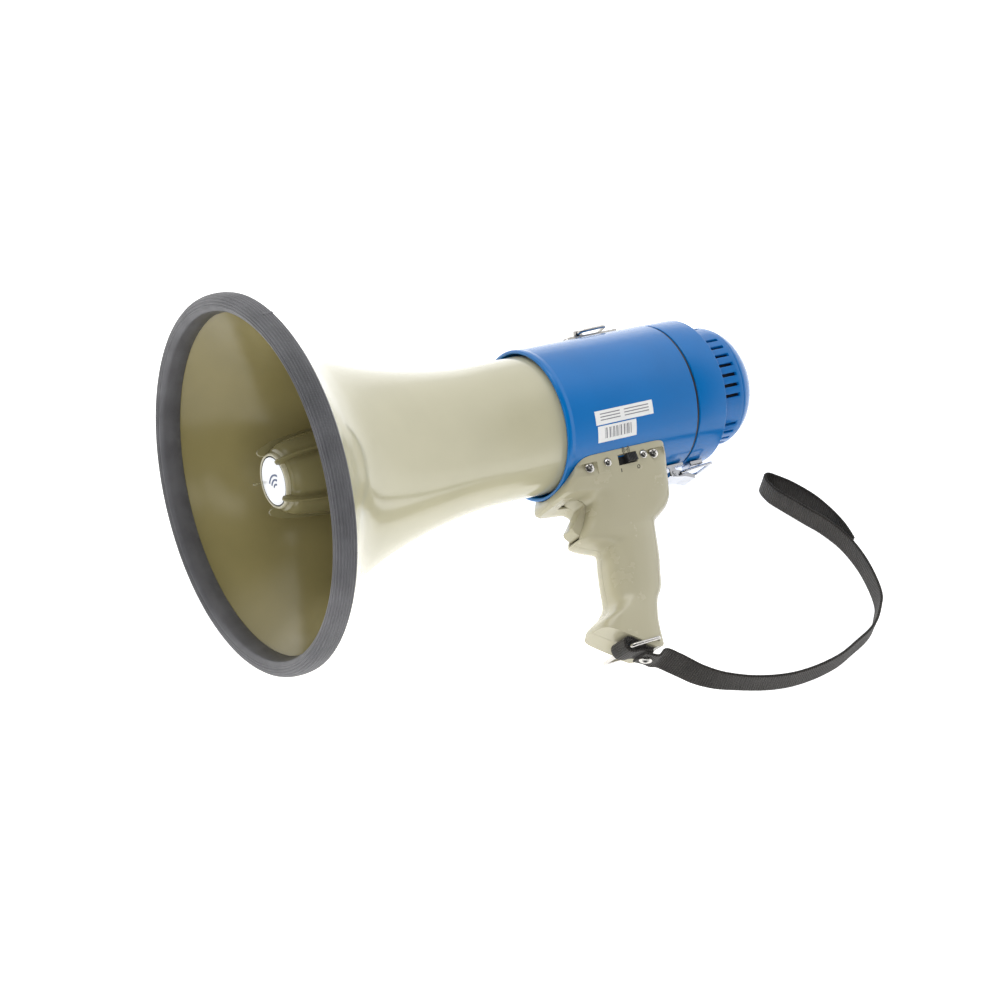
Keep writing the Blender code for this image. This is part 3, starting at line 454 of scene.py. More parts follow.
def bevel(ob, width, seg=3, angle=35.0, sharp=40.0):
    m = ob.modifiers.new('edges', 'BEVEL')
    m.width = width * 0.001
    m.segments = seg
    m.limit_method = 'ANGLE'
    m.angle_limit = math.radians(angle)
    m.use_clamp_overlap = True
    m.harden_normals = False
    bake(ob, sharp)


def drop(obs):
    for o in obs:
        bpy.data.objects.remove(o, do_unlink=True)


def adopt(ob, name, mats, body, replaces=()):
    ob.name = name
    ob.data.materials.clear()
    for m in mats if isinstance(mats, (list, tuple)) else [mats]:
        ob.data.materials.append(m)
    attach(ob, body)
    if replaces:
        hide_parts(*replaces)
    return ob


# ----------------------------------------------------------------- horn, rim
outer = fine(BELL, 8)
inner = offset(outer, 2.0)
prof = [tuple(p) for p in outer] + [tuple(p) for p in inner[::-1]]
v, f, own = turned(prof, 224)
n_out = len(outer)
# inner faces take the darker copy of the cream: painted shade of the horn's inside
build('horn_flare', v, f, [CREAM, SHADED_CREAM], 'megaphone', ('horn_bell',),
      face_mat=[0 if a < n_out - 1 else 1 for a in own], sharp=50)

# rubber rim with fine grooves moulded round its visible face
rim_face = fine([(8.8, 111.4), (8.3, 113.0), (6.8, 113.95), (4.2, 114.3), (1.6, 114.25),
                 (-0.8, 113.8), (-2.6, 112.6), (-3.7, 110.8), (-3.98, 108.6),
                 (-3.6, 106.5), (-2.5, 104.9)], 26)
s = np.concatenate([[0], np.cumsum(np.linalg.norm(np.diff(rim_face, axis=0), axis=1))])
groove = np.where((s > 2.6) & (s < s[-1] - 2.6),
                  0.5 - 0.5 * np.cos(2 * np.pi * (s - 2.6) / ((s[-1] - 5.2) / 10.0)), 0.0)
rim_face = offset(rim_face, 0.0) - 0.5 * (groove ** 0.7)[:, None] * (
    lambda t: np.stack([t[:, 1], -t[:, 0]], 1) /
    np.linalg.norm(t, axis=1)[:, None])(np.gradient(rim_face, axis=0)) * -1.0
in_skin = [(-1.0, 104.3), (2.6, 103.7), (6.3, 103.0)]
in_gap = [tuple(p) for p in offset(BELL, 2.25)[:3]]
out_gap = [tuple(p) for p in offset(BELL, -0.25)[:2]]
rim = [tuple(p) for p in rim_face] + in_skin + [(in_gap[-1][0] + 0.9, in_gap[-1][1] - 1.2)] \
    + in_gap[::-1] + [(1.6, in_gap[0][1] + 0.3), (1.6, out_gap[0][1])] + out_gap \
    + [(9.3, 108.2)]
v, f, own = turned(rim, 224)
build('rim_moulding', v, f, RUBBER, 'megaphone', ('rim_trim',), sharp=60)

# the moulding's joint nub on the outside
v, f = extrude(soft([(0.6, -1.2), (7.4, -1.2), (7.4, 1.2), (0.6, 1.2)], 0.9), 112.9, 114.75)
a = math.radians(-52)
v = [(p[0], p[2] * math.cos(a) - p[1] * math.sin(a) * -1.0, 0) for p in v] if False else \
    [(p[0], p[1] * math.sin(a) + p[2] * math.cos(a), p[1] * math.cos(a) - p[2] * math.sin(a))
     for p in v]
nub = build('rim_joint_nub', v, f, RUBBER, 'megaphone')
bevel(nub, 0.35)

# -------------------------------------------------------------- centre piece
cuts = np.radians(72.0 * np.arange(5))


def lobes(ang, x, r):
    d = np.abs((ang[:, None] - cuts[None, :] + np.pi) % (2 * np.pi) - np.pi).min(1)
    deep = min(1.0, max(0.0, (x - 19.0) / 10.0))
    return r - deep * 1.5 * np.exp(-(d / math.radians(9.0)) ** 2) * (1 if r > 15 else 0)


body_prof = [(20.4, 0.0), (20.4, 15.4)] + [tuple(p) for p in fine(BULLET, 5)]
inside = [(112.0, 26.6), (60.0, 24.0), (40.0, 22.0), (27.0, 19.6), (23.4, 17.0), (23.4, 0.0)]
v, f, own = turned(body_prof + inside, 240, closed=False, radial=lobes)
build('centre_horn', v, f, BULLETM, 'megaphone', ('reflex_bullet',), sharp=50)
allv, allf = [], []
for k in range(5):
    line = soft([(111.0, 26.4), (60.0, 23.6), (24.5, 17.0), (21.4, 15.8), (15.2, 16.4),
                 (13.4, 18.6), (14.4, 20.6), (17.5, 21.9), (24.0, 24.4), (40.0, 26.6),
                 (60.0, 28.4), (111.0, 31.3)], 1.6, 3)
    vv, ff = extrude(line, -0.8, 0.8)
    t = math.radians(72.0 * k)
    vv = [(p[0], p[1] * math.cos(t) + p[2] * math.sin(t), p[2] * math.cos(t) - p[1] * math.sin(t))
          for p in vv]
    base = len(allv)
    allv += vv
    allf += [tuple(i + base for i in q) for q in ff]
vanes = build('centre_vanes', allv, allf, BULLETM, 'megaphone')
bevel(vanes, 0.45, 3, 50)
v, f, own = turned(soft([(20.6, 16.9), (18.6, 16.9), (17.7, 16.3), (17.7, 15.4),
                         (18.6, 15.0), (20.6, 15.0)], 0.4), 128)
build('badge_ring', v, f, BEIGE, 'megaphone')
v, f, own = turned([(20.0, 0.0), (20.0, 14.9)] + soft(
    [(20.0, 14.95), (18.35, 14.95), (18.0, 14.5)], 0.3, 3, False)
    + [(18.0, 13.6), (18.12, 13.4), (18.12, 0.0)], 128, closed=False)
build('badge_plate', v, f, BADGE, 'megaphone', ('badge_disc',), sharp=25)


def arcs(radii, width, half, centre, depth, lift):
    """Flat raised arcs on a plane facing the mouth, about `centre` (y, z)."""
    vs, fs = [], []
    for r in radii:
        n = 26
        base = len(vs)
        for k in range(n + 1):
            t = -half + 2 * half * k / n
            for rr in (r - width / 2, r + width / 2):
                y, z = centre[0] + rr * math.sin(t), centre[1] + rr * math.cos(t)
                vs += [(lift, y, z), (lift + depth, y, z)]
        for k in range(n):
            i = base + 4 * k
            for a_, b_ in ((0, 2), (2, 3), (3, 1), (1, 0)):
                fs.append((i + a_, i + b_, i + 4 + b_, i + 4 + a_))
        fs += [(base, base + 2, base + 3, base + 1),
               (base + 4 * n, base + 4 * n + 1, base + 4 * n + 3, base + 4 * n + 2)]
    return vs, fs


# dark ring in the badge's groove: painted shade
v, f, own = turned(soft([(17.98, 14.35), (17.98, 14.95), (18.6, 14.95), (18.6, 14.35)], 0.1), 96)
build('badge_groove', v, f, PAINTED_SHADE, 'megaphone')
v, f = arcs((3.2, 6.0, 8.8), 1.1, 0.75, (0.0, -5.6), 0.25, 17.95)
build('badge_wave_mark', v, f, INK, 'megaphone')

# ------------------------------------------------------------------- housing
v, f, own = turned(soft([(BX0 + 0.2, 46.4), (BX0 - 0.25, 47.4), (BX0 + 0.3, 48.65),
                         (BX0 + 2.6, 48.85), (BX0 + 5.4, BARREL_R),
                         (BX1 - 0.2, BARREL_R), (BX1, 47.0), (BX1, BARREL_IN),
                         (BX0 + 3.0, BARREL_IN)], 0.8, 5), 224)
build('housing_shell', v, f, BLUE, 'megaphone', ('barrel_housing',), sharp=50)
v, f, own = turned(soft([(299.95, 44.6), (299.95, 47.3), (301.35, 47.3), (301.35, 44.6)],
                        0.3), 192)
build('gasket_ring', v, f, BLACK, 'megaphone', ('seam_gasket',))
v, f, own = turned(soft([(291.7, 43.0), (291.7, 44.2), (301.7, 44.2), (301.7, CAP_R - 0.1),
                         (CAP_X[1] - 1.0, CAP_R), (CAP_X[1], CAP_R - 1.4),
                         (CAP_X[1], 34.0), (CAP_X[1] - 2.2, 34.0),
                         (CAP_X[1] - 2.2, 45.6), (303.5, 45.6), (303.5, 43.0)], 0.7, 4), 224)
build('end_cap', v, f, BLUE, 'rear_end', ('rear_cap',), sharp=50)

# collar: ring with four groups of seven slots
slots = []
for g in range(4):
    for k in range(7):
        c = 90.0 * g + (k - 3) * 10.0
        h = math.degrees(1.1 / COL_R)
        slots.append((c - h, c + h))
edges = sorted(set([round(e % 360, 4) for s_ in slots for e in s_] +
                   [round(a_, 4) for a_ in np.arange(0, 360, 2.0)
                    if all(abs((a_ - (s_[0] + s_[1]) / 2 + 180) % 360 - 180) > 2.2
                           for s_ in slots)]))
m_ = len(edges)
xs = [COL_X[0], 329.0, 341.5, COL_X[1]]


def in_slot(i):
    mid = (edges[i] + ((edges[(i + 1) % m_] - edges[i]) % 360) / 2) % 360
    return any(abs((mid - (s_[0] + s_[1]) / 2 + 180) % 360 - 180) < 1.0 for s_ in slots)


V = {}
verts = []
for i, e in enumerate(edges):
    a = math.radians(e)
    for j, x in enumerate(xs):
        for q, r in enumerate((COL_R, COL_IN)):
            V[i, j, q] = len(verts)
            verts.append((x, r * math.sin(a), r * math.cos(a)))
faces = []
for i in range(m_):
    n_ = (i + 1) % m_
    hole = in_slot(i)
    for j in range(3):
        if hole and j == 1:
            faces.append((V[i, 1, 0], V[i, 1, 1], V[n_, 1, 1], V[n_, 1, 0]))
            faces.append((V[i, 2, 0], V[n_, 2, 0], V[n_, 2, 1], V[i, 2, 1]))
            faces.append((V[i, 1, 0], V[i, 2, 0], V[i, 2, 1], V[i, 1, 1]))
            faces.append((V[n_, 1, 0], V[n_, 1, 1], V[n_, 2, 1], V[n_, 2, 0]))
            continue
        faces.append((V[i, j, 0], V[n_, j, 0], V[n_, j + 1, 0], V[i, j + 1, 0]))
        faces.append((V[i, j, 1], V[i, j + 1, 1], V[n_, j + 1, 1], V[n_, j, 1]))
    faces.append((V[i, 0, 0], V[i, 0, 1], V[n_, 0, 1], V[n_, 0, 0]))
    faces.append((V[i, 3, 0], V[n_, 3, 0], V[n_, 3, 1], V[i, 3, 1]))
col = build('slotted_collar', verts, faces, BLUE, 'rear_end', ('mic_collar',))
bevel(col, 0.35, 3, 40)
# dark sleeve behind the slots: painted shade seen through them
v, f, own = turned(soft([(326.2, 36.0), (326.2, 36.6), (343.4, 36.6), (343.4, 36.0)], 0.2), 96)
build('slot_shade_sleeve', v, f, PAINTED_SHADE, 'rear_end')

dome_out = fine(DOME[1:-1], 6)
shell = [(345.2, 36.6), (345.2, 38.3), (345.6, 38.65), (346.4, 38.65)] \
    + [tuple(p) for p in dome_out] + [(367.0, 6.0), (367.2, 0.0)]
hollow_ = [(365.2, 0.0), (364.2, 9.0), (361.0, 19.0), (354.0, 30.0), (348.0, 35.6)]
v, f, own = turned(shell + hollow_, 192, closed=True)
build('end_dome', v, f, BLUE, 'rear_end', ('mic_dome',), sharp=50)


# ------------------------------------------------------------ grip and saddle
def pchip(x, y, xs_):
    x, y = np.array(x, float), np.array(y, float)
    h, d = np.diff(x), np.diff(y) / np.diff(x)
    m = np.zeros(len(x))
    for i in range(1, len(x) - 1):
        if d[i - 1] * d[i] > 0:
            w1, w2 = 2 * h[i] + h[i - 1], h[i] + 2 * h[i - 1]
            m[i] = (w1 + w2) / (w1 / d[i - 1] + w2 / d[i])
    m[0], m[-1] = d[0], d[-1]
    k = np.clip(np.searchsorted(x, xs_) - 1, 0, len(x) - 2)
    t = (xs_ - x[k]) / h[k]
    return ((2 * t ** 3 - 3 * t ** 2 + 1) * y[k] + (t ** 3 - 2 * t ** 2 + t) * h[k] * m[k]
            + (-2 * t ** 3 + 3 * t ** 2) * y[k + 1] + (t ** 3 - t ** 2) * h[k] * m[k + 1])


SEC = np.array(SECTIONS)
depth = -SEC[:, 0]
zs = np.unique(np.round(np.concatenate([np.arange(28.0, 168.01, 1.7), depth]), 3))
zs = zs[np.concatenate([[True], np.diff(zs) > 0.35])]
REF = [pchip(depth, SEC[:, c], zs) for c in (1, 2, 3, 4)]


def half_width(z):
    return float(np.interp(-z, zs, REF[2]))


def form(wall, lo=28.0, hi=168.0, extra=None, n=96):
    verts, faces, rows = [], [], []
    for z, x0, x1, w, e in zip(zs, *REF):
        if z < lo - 1e-6 or z > hi + 1e-6:
            continue
        if extra:
            x0, x1, w, e = extra(z, x0, x1, w, e)
        c, a, b = (x0 + x1) / 2, (x1 - x0) / 2 - wall, w - wall
        row = []
        for k in range(n):
            t = 2 * math.pi * (k + 0.5) / n
            ct, st = math.cos(t), math.sin(t)
            row.append(len(verts))
            verts.append((c + a * math.copysign(abs(ct) ** (2 / e), ct),
                          b * math.copysign(abs(st) ** (2 / e), st), -z))
        rows.append(row)
    for p, q in zip(rows, rows[1:]):
        for k in range(n):
            j = (k + 1) % n
            faces.append((p[k], p[j], q[j], q[k]))
    faces.append(tuple(rows[0]))
    faces.append(tuple(rows[-1][::-1]))
    return verts, faces


def hollowing(z, x0, x1, w, e):
    if z < 56.0:
        return x0 + 4.0, x1, w - 1.6, e
    if z < 92.0:
        return max(x0, 217.0), x1, w, e
    return x0, x1, w, e


cut_hollow = raw('cut_hollow', *form(2.6, 28.0, 131.0, hollowing, 64))
cut_hollow.data.transform(Matrix.Translation(tuple(W((0, 0, 0.5)) - W((0, 0, 0)))))
v, f, own = turned([(150.0, 0.0), (150.0, 49.15), (204.0, 49.15), (204.2, 48.6),
                    (330.0, 48.6), (330.0, 0.0)], 224, closed=False)
cut_seat = raw('cut_seat', v, f)
cut_base = raw('cut_base', *extrude(soft(BASE_CUT, 2.2, 4), -30.0, 30.0))
bail_bore = raw('cut_bail', *tube([(222.0, -25.0, -156.6), (222.0, 25.0, -156.6)], 1.55, 20))

# room for the press-to-talk trigger between the two shells
slot_line = [(203.6, -50.6), (203.6, -55.0), (196.0, -70.0), (196.0, -80.0),
             (201.0, -81.5), (222.0, -81.5), (222.0, -50.6)]


cut_slot = raw('cut_slot', *extrude(soft(slot_line, 1.5, 3), -7.1, 7.1))
half_l = raw('half_l', *block((150, 330), (-0.12, 60), (-200, 60)))
half_r = raw('half_r', *block((150, 330), (-60, 0.12), (-200, 60)))
SEAT_Y = -27.4
pocket_f = raw('pocket_f', *extrude(soft([(186, -40.9), (219.0, -40.9), (219.0, -49.4),
                                          (186, -45.6)], 1.2, 4), -40.0, SEAT_Y))
pocket_r = raw('pocket_r', *extrude(soft([(256.4, -41.0), (271.6, -40.8), (270.4, -59.5)],
                                         1.2, 4), -40.0, SEAT_Y))
window = raw('window', *block((KNOB_X - 7.2, KNOB_X + 7.2), (-40, -20),
                              (SCREW_Z - 3.2, SCREW_Z + 3.2)))
seats = [raw('seat_%d' % i, *tube([(x, -40.0, SCREW_Z), (x, -29.6, SCREW_Z)], 3.25, 40))
         for i, x in enumerate((226.4, 254.2))]
bores = [raw('bore_%d' % i, *tube([(x, -32.0, SCREW_Z), (x, -18.0, SCREW_Z)], 1.7, 16))
         for i, x in enumerate((213.4, 226.4, 254.2, 263.2))]
spindle = raw('spindle', *tube([(238.0, 20.0, -52.0), (238.0, 40.0, -52.0)], 3.4, 28))
left = raw('left', *form(0.0))
carve(left, [cut_hollow, cut_seat, cut_base, half_l, cut_slot, bail_bore, pocket_f,
             pocket_r, window] + seats + bores)
right = raw('right', *form(0.0))
carve(right, [cut_hollow, cut_seat, cut_base, half_r, cut_slot, bail_bore, spindle])
adopt(left, 'grip_shell_left', BEIGE, 'megaphone', ('grip_left_shell',))
adopt(right, 'grip_shell_right', BEIGE, 'megaphone', ('grip_right_shell',))
drop([cut_hollow, cut_seat, cut_base, half_l, half_r, cut_slot, bail_bore, pocket_f,
      pocket_r, window, spindle] + seats + bores)

v, f = extrude([tuple(p) for p in soft(TRIGGER, 1.6, 4)], -6.5, 6.5)
trig = build('talk_trigger', v, f, BEIGE, 'trigger', ('trigger',))
bevel(trig, 0.9, 4, 50)

# switch: ribbed sliding button and the dark plate behind its window
x0_, x1_ = KNOB_X - 1.0, KNOB_X + 6.6
top = [(x0_, -26.4), (x0_, -31.2)]
for k in range(6):
    a_ = x0_ + 0.5 + k * (x1_ - x0_ - 1.0) / 6
    w_ = (x1_ - x0_ - 1.0) / 6
    top += [(a_, -31.75), (a_ + 0.55 * w_, -31.75), (a_ + 0.6 * w_, -31.2), (a_ + 0.95 * w_, -31.2)]
top += [(x1_, -31.2), (x1_, -26.4)]
zz = (SCREW_Z - 2.6, SCREW_Z + 2.6)
n_ = len(top)
v = [(a_, b_, zz[0]) for a_, b_ in top] + [(a_, b_, zz[1]) for a_, b_ in top]
f = [(k, (k + 1) % n_, n_ + (k + 1) % n_, n_ + k) for k in range(n_)]
f += [tuple(range(n_)), tuple(range(2 * n_ - 1, n_ - 1, -1))]
build('slide_button', v, f, BLACK, 'siren_knob', ('siren_switch_knob',))
v, f = extrude(soft([(KNOB_X - 7.1, SCREW_Z - 3.1), (KNOB_X + 7.1, SCREW_Z - 3.1),
                     (KNOB_X + 7.1, SCREW_Z + 3.1), (KNOB_X - 7.1, SCREW_Z + 3.1)], 0.5),
               -26.2, -25.4)
build('switch_dust_plate', v, f, BLACK, 'megaphone')


def screw(name, at, r, h, node, shank, length):
    """Pan head with a cross recess, facing the left cheek."""
    dome = [(0.0, 0.0)] + [(h * (1 - math.cos(t)), r * math.sin(t) ** 0.8 * 0.98)
                           for t in np.linspace(0.14, math.pi / 2, 9)] + \
        [(h + 0.25, r), (h + 0.5, r * 0.97), (h + 0.5, shank), (h + length, shank),
         (h + length + 0.8, 0.0)]
    vs, fs, _ = turned(dome, 48, closed=False)
    vs = [(at[0] - q[1], at[1] + q[0], at[2] + q[2]) for q in vs]
    ob = raw(name, vs, fs)
    cs = []
    for turn in (25, 115):
        t = math.radians(turn)
        c, s_ = math.cos(t), math.sin(t)
        L, w_ = r * 0.62, r * 0.13
        quad = [(-L, -w_), (L, -w_), (L, w_), (-L, w_)]
        low = [(-L * 0.45, -w_ * 0.5), (L * 0.45, -w_ * 0.5), (L * 0.45, w_ * 0.5),
               (-L * 0.45, w_ * 0.5)]
        vs2 = [(at[0] + a_ * c - b_ * s_, at[1] - 0.5, at[2] + a_ * s_ + b_ * c)
               for a_, b_ in quad] + \
              [(at[0] + a_ * c - b_ * s_, at[1] + h * 1.1, at[2] + a_ * s_ + b_ * c)
               for a_, b_ in low]
        fs2 = [(0, 1, 5, 4), (1, 2, 6, 5), (2, 3, 7, 6), (3, 0, 4, 7), (0, 3, 2, 1),
               (4, 5, 6, 7)]
        cs.append(raw('cross', vs2, fs2))
    carve(ob, cs)
    drop(cs)
    return adopt(ob, name, NICKEL, 'megaphone', (node,))


for i, x in enumerate((226.4, 254.2)):
    screw('panel_screw_%d' % (i + 1), (x, -31.4, SCREW_Z), 2.7, 1.1,
          'switch_screw_%d' % (i + 1), 1.15, 5.3)
for i, x in enumerate((213.4, 263.2)):
    screw('cheek_screw_%d' % (i + 1), (x, -29.6, SCREW_Z), 3.6, 1.4,
          'saddle_screw_%d' % (i + 1), 1.5, 2.7)


# generic marks by the switch, lying on the cheek
def cheek_y(x, z):
    return -half_width(z)


def on_cheek(shape, at, lift=0.12):
    """Map flat (u, v) outline quads on to the cheek at (x, z)."""
    vs, fs = [], []
    for quad in shape:
        base = len(vs)
        for d in (lift, -0.25):
            for u, w in quad:
                x, z = at[0] + u, at[1] + w
                vs.append((x, cheek_y(x, z) - d, z))
        n2 = len(quad)
        fs += [(base + k, base + (k + 1) % n2, base + n2 + (k + 1) % n2, base + n2 + k)
               for k in range(n2)]
        fs += [tuple(range(base, base + n2)), tuple(range(base + 2 * n2 - 1, base + n2 - 1, -1))]
    return vs, fs


def ring_quads(r, w, a0=0.0, a1=2 * math.pi, n=20, c=(0, 0)):
    out = []
    for k in range(n):
        t, t2 = a0 + (a1 - a0) * k / n, a0 + (a1 - a0) * (k + 1) / n
        out.append([(c[0] + q * math.cos(s_), c[1] + q * math.sin(s_))
                    for q, s_ in ((r, t), (r, t2), (r + w, t2), (r + w, t))])
    return out


v, f = on_cheek([[(-0.3, -1.1), (0.3, -1.1), (0.3, 1.1), (-0.3, 1.1)]], (236.2, -49.6))
build('mark_on', v, f, MARK, 'megaphone')
v, f = on_cheek(ring_quads(0.75, 0.4), (249.6, -49.6))
build('mark_off', v, f, MARK, 'megaphone')
v, f = on_cheek([q for r in (0.5, 1.5, 2.5)
                 for q in ring_quads(r, 0.42, -0.9, 0.9, 8)] +
                [q for r in (0.5, 1.5, 2.5)
                 for q in ring_quads(r, 0.42, math.pi - 0.9, math.pi + 0.9, 8)],
                (242.0, -38.3))
build('mark_siren', v, f, MARK, 'megaphone')


# stickers with plain grey bars, wrapped on the housing
def sticker(name, xa, xb, a0, a1, bars):
    """Angles in degrees from -y (left) toward -z (down)."""
    nx, na = 96, 14
    vs, fs, fm = [], [], []
    for i in range(nx + 1):
        x = xa + (xb - xa) * i / nx
        for j in range(na + 1):
            t = math.radians(a0 + (a1 - a0) * j / na)
            for r in (BARREL_R + 0.16, BARREL_R + 0.02):
                vs.append((x, -r * math.cos(t), -r * math.sin(t)))
    idx = lambda i, j, q: (i * (na + 1) + j) * 2 + q
    for i in range(nx):
        for j in range(na):
            fs.append((idx(i, j, 0), idx(i + 1, j, 0), idx(i + 1, j + 1, 0), idx(i, j + 1, 0)))
            fm.append(1 if bars(i / nx, j / na) else 0)
            fs.append((idx(i, j, 1), idx(i, j + 1, 1), idx(i + 1, j + 1, 1), idx(i + 1, j, 1)))
            fm.append(0)
    for i in range(nx):
        for j in (0, na):
            fs.append((idx(i, j, 0), idx(i, j, 1), idx(i + 1, j, 1), idx(i + 1, j, 0)))
            fm.append(0)
    for j in range(na):
        for i in (0, nx):
            fs.append((idx(i, j, 0), idx(i, j + 1, 0), idx(i, j + 1, 1), idx(i, j, 1)))
            fm.append(0)
    return build(name, vs, fs, [PAPER, PRINT], 'megaphone', face_mat=fm)


sticker('sticker_upper', 219.6, 264.2, 17.0, 27.5,
        lambda a_, b_: (0.08 < a_ < 0.92 and int(b_ * 14) in (3, 6, 9)
                        and not (0.42 < a_ < 0.5)))
sticker('sticker_lower', 220.6, 250.3, 28.5, 41.0,
        lambda a_, b_: 0.14 < a_ < 0.86 and 0.12 < b_ < 0.72
        and math.sin(a_ * 151.0) + math.sin(a_ * 67.0) > 0.1)

# --------------------------------------------------- volume knob, right cheek
knob_prof = soft([(0.0, 0.01), (0.0, 6.6), (0.9, 8.1), (5.2, 8.2), (6.0, 7.2)], 0.7, 4, False)


def flutes(ang, x, r):
    return r - (0.45 * (0.5 + 0.5 * np.cos(ang * 24)) if r > 7.0 and 0.8 < x < 5.6 else 0.0)


v, f, own = turned([(0.0, 0.0)] + [tuple(p) for p in knob_prof[1:]] +
                   [(6.0, 2.8), (16.5, 2.8), (16.5, 0.0)], 192, closed=False, radial=flutes)
v = [(238.0 + p[1], 36.4 - p[0], -52.0 + p[2]) for p in v]
build('volume_dial', v, f, BLACK, 'volume_knob', ('volume_knob',), sharp=50)
v, f = extrude(soft([(-0.5, 2.6), (0.5, 2.6), (0.5, 6.4), (-0.5, 6.4)], 0.3), 36.3, 36.7)
v = [(238.0 + p[0], p[1], -52.0 + p[2]) for p in v]
build('volume_pointer', v, f, PAPER, 'volume_knob')

# -------------------------------------------------------- latch, ring, bail
LOOP = (293.6, -55.2)
path = bend([(LOOP[0], -4.6, LOOP[1]), (LOOP[0], -9.8, LOOP[1]), (318.0, -9.8, -53.9),
             (318.0, 9.8, -53.9), (LOOP[0], 9.8, LOOP[1]), (LOOP[0], 4.6, LOOP[1])], 1.7, 8)
v, f = tube(path, 0.9, 16)
build('latch_wire', v, f, CHROME, 'latch_loop', ('latch_loop',))
zt = BARREL_R + 0.4
path = bend([(258.8, -0.4, zt + 2.7), (258.8, -10.5, zt + 2.7), (279.0, -10.5, zt + 3.4),
             (279.0, 10.5, zt + 3.4), (258.8, 10.5, zt + 2.7), (258.8, 0.4, zt + 2.7)],
            3.0, 8)
v, f = tube(path, 1.1, 18)
build('top_ring_wire', v, f, NICKEL, 'strap_ring', ('top_d_ring',))
sB = BAIL_Y
path = bend([(222.0, -14.6, -156.6), (222.0, -sB, -156.6), (201.0, -sB, -156.6),
             (201.0, sB, -156.6), (222.0, sB, -156.6), (222.0, 14.6, -156.6)], 2.6, 8)
v, f = tube(path, BAIL_D / 2, 20)
build('bail_wire', v, f, NICKEL, 'wire_bail', ('foot_bail',))


# -------------------------------------------------------------- wrist strap
def down(p):
    return np.array(p, float) @ ROT.T - SHIFT


def resample(pts, step):
    fine_ = fine(pts, 16)
    s_ = np.concatenate([[0], np.cumsum(np.linalg.norm(np.diff(fine_, axis=0), axis=1))])
    m__ = max(2, int(round(s_[-1] / step)))
    t = np.linspace(0, s_[-1], m__ + 1)
    return np.stack([np.interp(t, s_, fine_[:, k]) for k in range(3)], 1)


def band(path, across, width, thick):
    """Woven band with rounded selvedges and UVs in millimetres."""
    h, k = width / 2, thick / 2
    sec = []
    for u in np.linspace(-h + k, h - k, 9):
        edge = abs(u) / (h - k)
        sec.append((u, k * (0.90 + 0.10 * edge ** 6)))
    sec += [(h - k + k * math.sin(t), k * math.cos(t)) for t in np.linspace(0.5, math.pi - 0.5, 5)]
    sec += [(u, -w) for u, w in sec[8::-1]]
    sec += [(-h + k - k * math.sin(t), -k * math.cos(t))
            for t in np.linspace(0.5, math.pi - 0.5, 5)]
    n_ = len(sec)
    verts, uvs, faces = [], [], []
    run = np.concatenate([[0], np.cumsum(np.linalg.norm(np.diff(path, axis=0), axis=1))])
    for i, p in enumerate(path):
        t = path[min(i + 1, len(path) - 1)] - path[max(i - 1, 0)]
        t = t / np.linalg.norm(t)
        w = across[i] - t * (across[i] @ t)
        w = w / np.linalg.norm(w)
        n = np.cross(w, t)
        for a_, b_ in sec:
            verts.append(p + w * a_ + n * b_)
            uvs.append(((a_ + h) * 0.01, run[i] * 0.001))
    for i in range(len(path) - 1):
        for k_ in range(n_):
            j = (k_ + 1) % n_
            faces.append((i * n_ + k_, i * n_ + j, (i + 1) * n_ + j, (i + 1) * n_ + k_))
    faces.append(tuple(range(n_)))
    faces.append(tuple(range((len(path) - 1) * n_, len(path) * n_))[::-1])
    return verts, faces, uvs


bar_up = ROT @ np.array([0.0, -1.0, 0.0])
hub = down((BAIL_BAR[0], TAB_Y, BAIL_BAR[1]))
lead = np.array(STRAP_LEAD)
lead = lead - bar_up * (lead @ bar_up)
lead = lead / np.linalg.norm(lead)
side = np.cross(lead, bar_up)
side = side if side[1] < 0 else -side
tab = [(16.0, -0.1), (14.0, -0.1), (10.6, -0.1), (7.4, 0.5), (4.2, 1.9), (1.2, 2.35),
       (-1.3, 2.1), (-3.0, 0.6), (-4.1, -1.6), (-4.0, -3.8), (-2.5, -5.4),
       (0.2, -5.9), (3.6, -5.2), (8.0, -3.4), (11.5, -2.2), (14.0, -2.1), (16.0, -2.1)]
tab_path = fine([hub + lead * a_ + side * b_ for a_, b_ in tab], 3)
v, f, uv = band(tab_path, [bar_up] * len(tab_path), STRAP_W, 1.6)
tab_ob = build('strap_tab_loop', v, f, WEB, 'megaphone', ('strap_tab',),
               world=True, uv=uv, sharp=60)

start = [hub + lead * a_ + side * b_ for a_, b_ in ((10.8, 1.95), (15.0, 1.95), (21.0, 1.95))]


def settle(p):
    """The band's resting bow: it sags outward a little along its low run."""
    x, y, z = p
    if y > -95.0 or x < 44.0:
        return np.array(p, float)
    k = min(1.0, (x - 44.0) / 22.0) * min(1.0, max(0.0, (-95.0 - y) / 45.0))
    t = min(1.0, max(0.0, (x - 120.0) / 60.0))
    return np.array([x + k * (-1.7 + 2.4 * t), y - 3.4 * k, z])


ROUTE = start + [settle(p) for p in STRAP_ROUTE]
route = resample(ROUTE, 1.6)
run = np.concatenate([[0], np.cumsum(np.linalg.norm(np.diff(route, axis=0), axis=1))])
LENGTH = float(run[-1])
across = []
for d in run:
    k = min(1.0, max(0.0, (d - 34.0) / 44.0))
    k = k * k * (3 - 2 * k)
    j = min(1.0, max(0.0, (d - 6.0) / 16.0))
    j = j * j * (3 - 2 * j)
    first = bar_up * (1 - j) + np.array([0.15, 0.24, 0.95]) * j
    across.append(first * (1 - k) + np.array([0.0, 0.0, 1.0]) * k)
v, f, uv = band(route, across, STRAP_W, STRAP_T)
strap = build('hand_strap', v, f, WEB, 'megaphone', ('wrist_strap',),
              world=True, uv=uv, sharp=60)

# eyelet through strap and tab: rolled nickel ring with a dark centre
eye_at = hub + lead * 15.0 + side * 2.9


def eyelet(profile, seg=64):
    vs, fs, _ = turned(profile, seg, closed=not (profile[0][1] < 1e-6))
    e1, e2 = lead, np.cross(side, lead)
    return [eye_at + side * p[0] + e1 * p[1] + e2 * p[2] for p in vs], fs


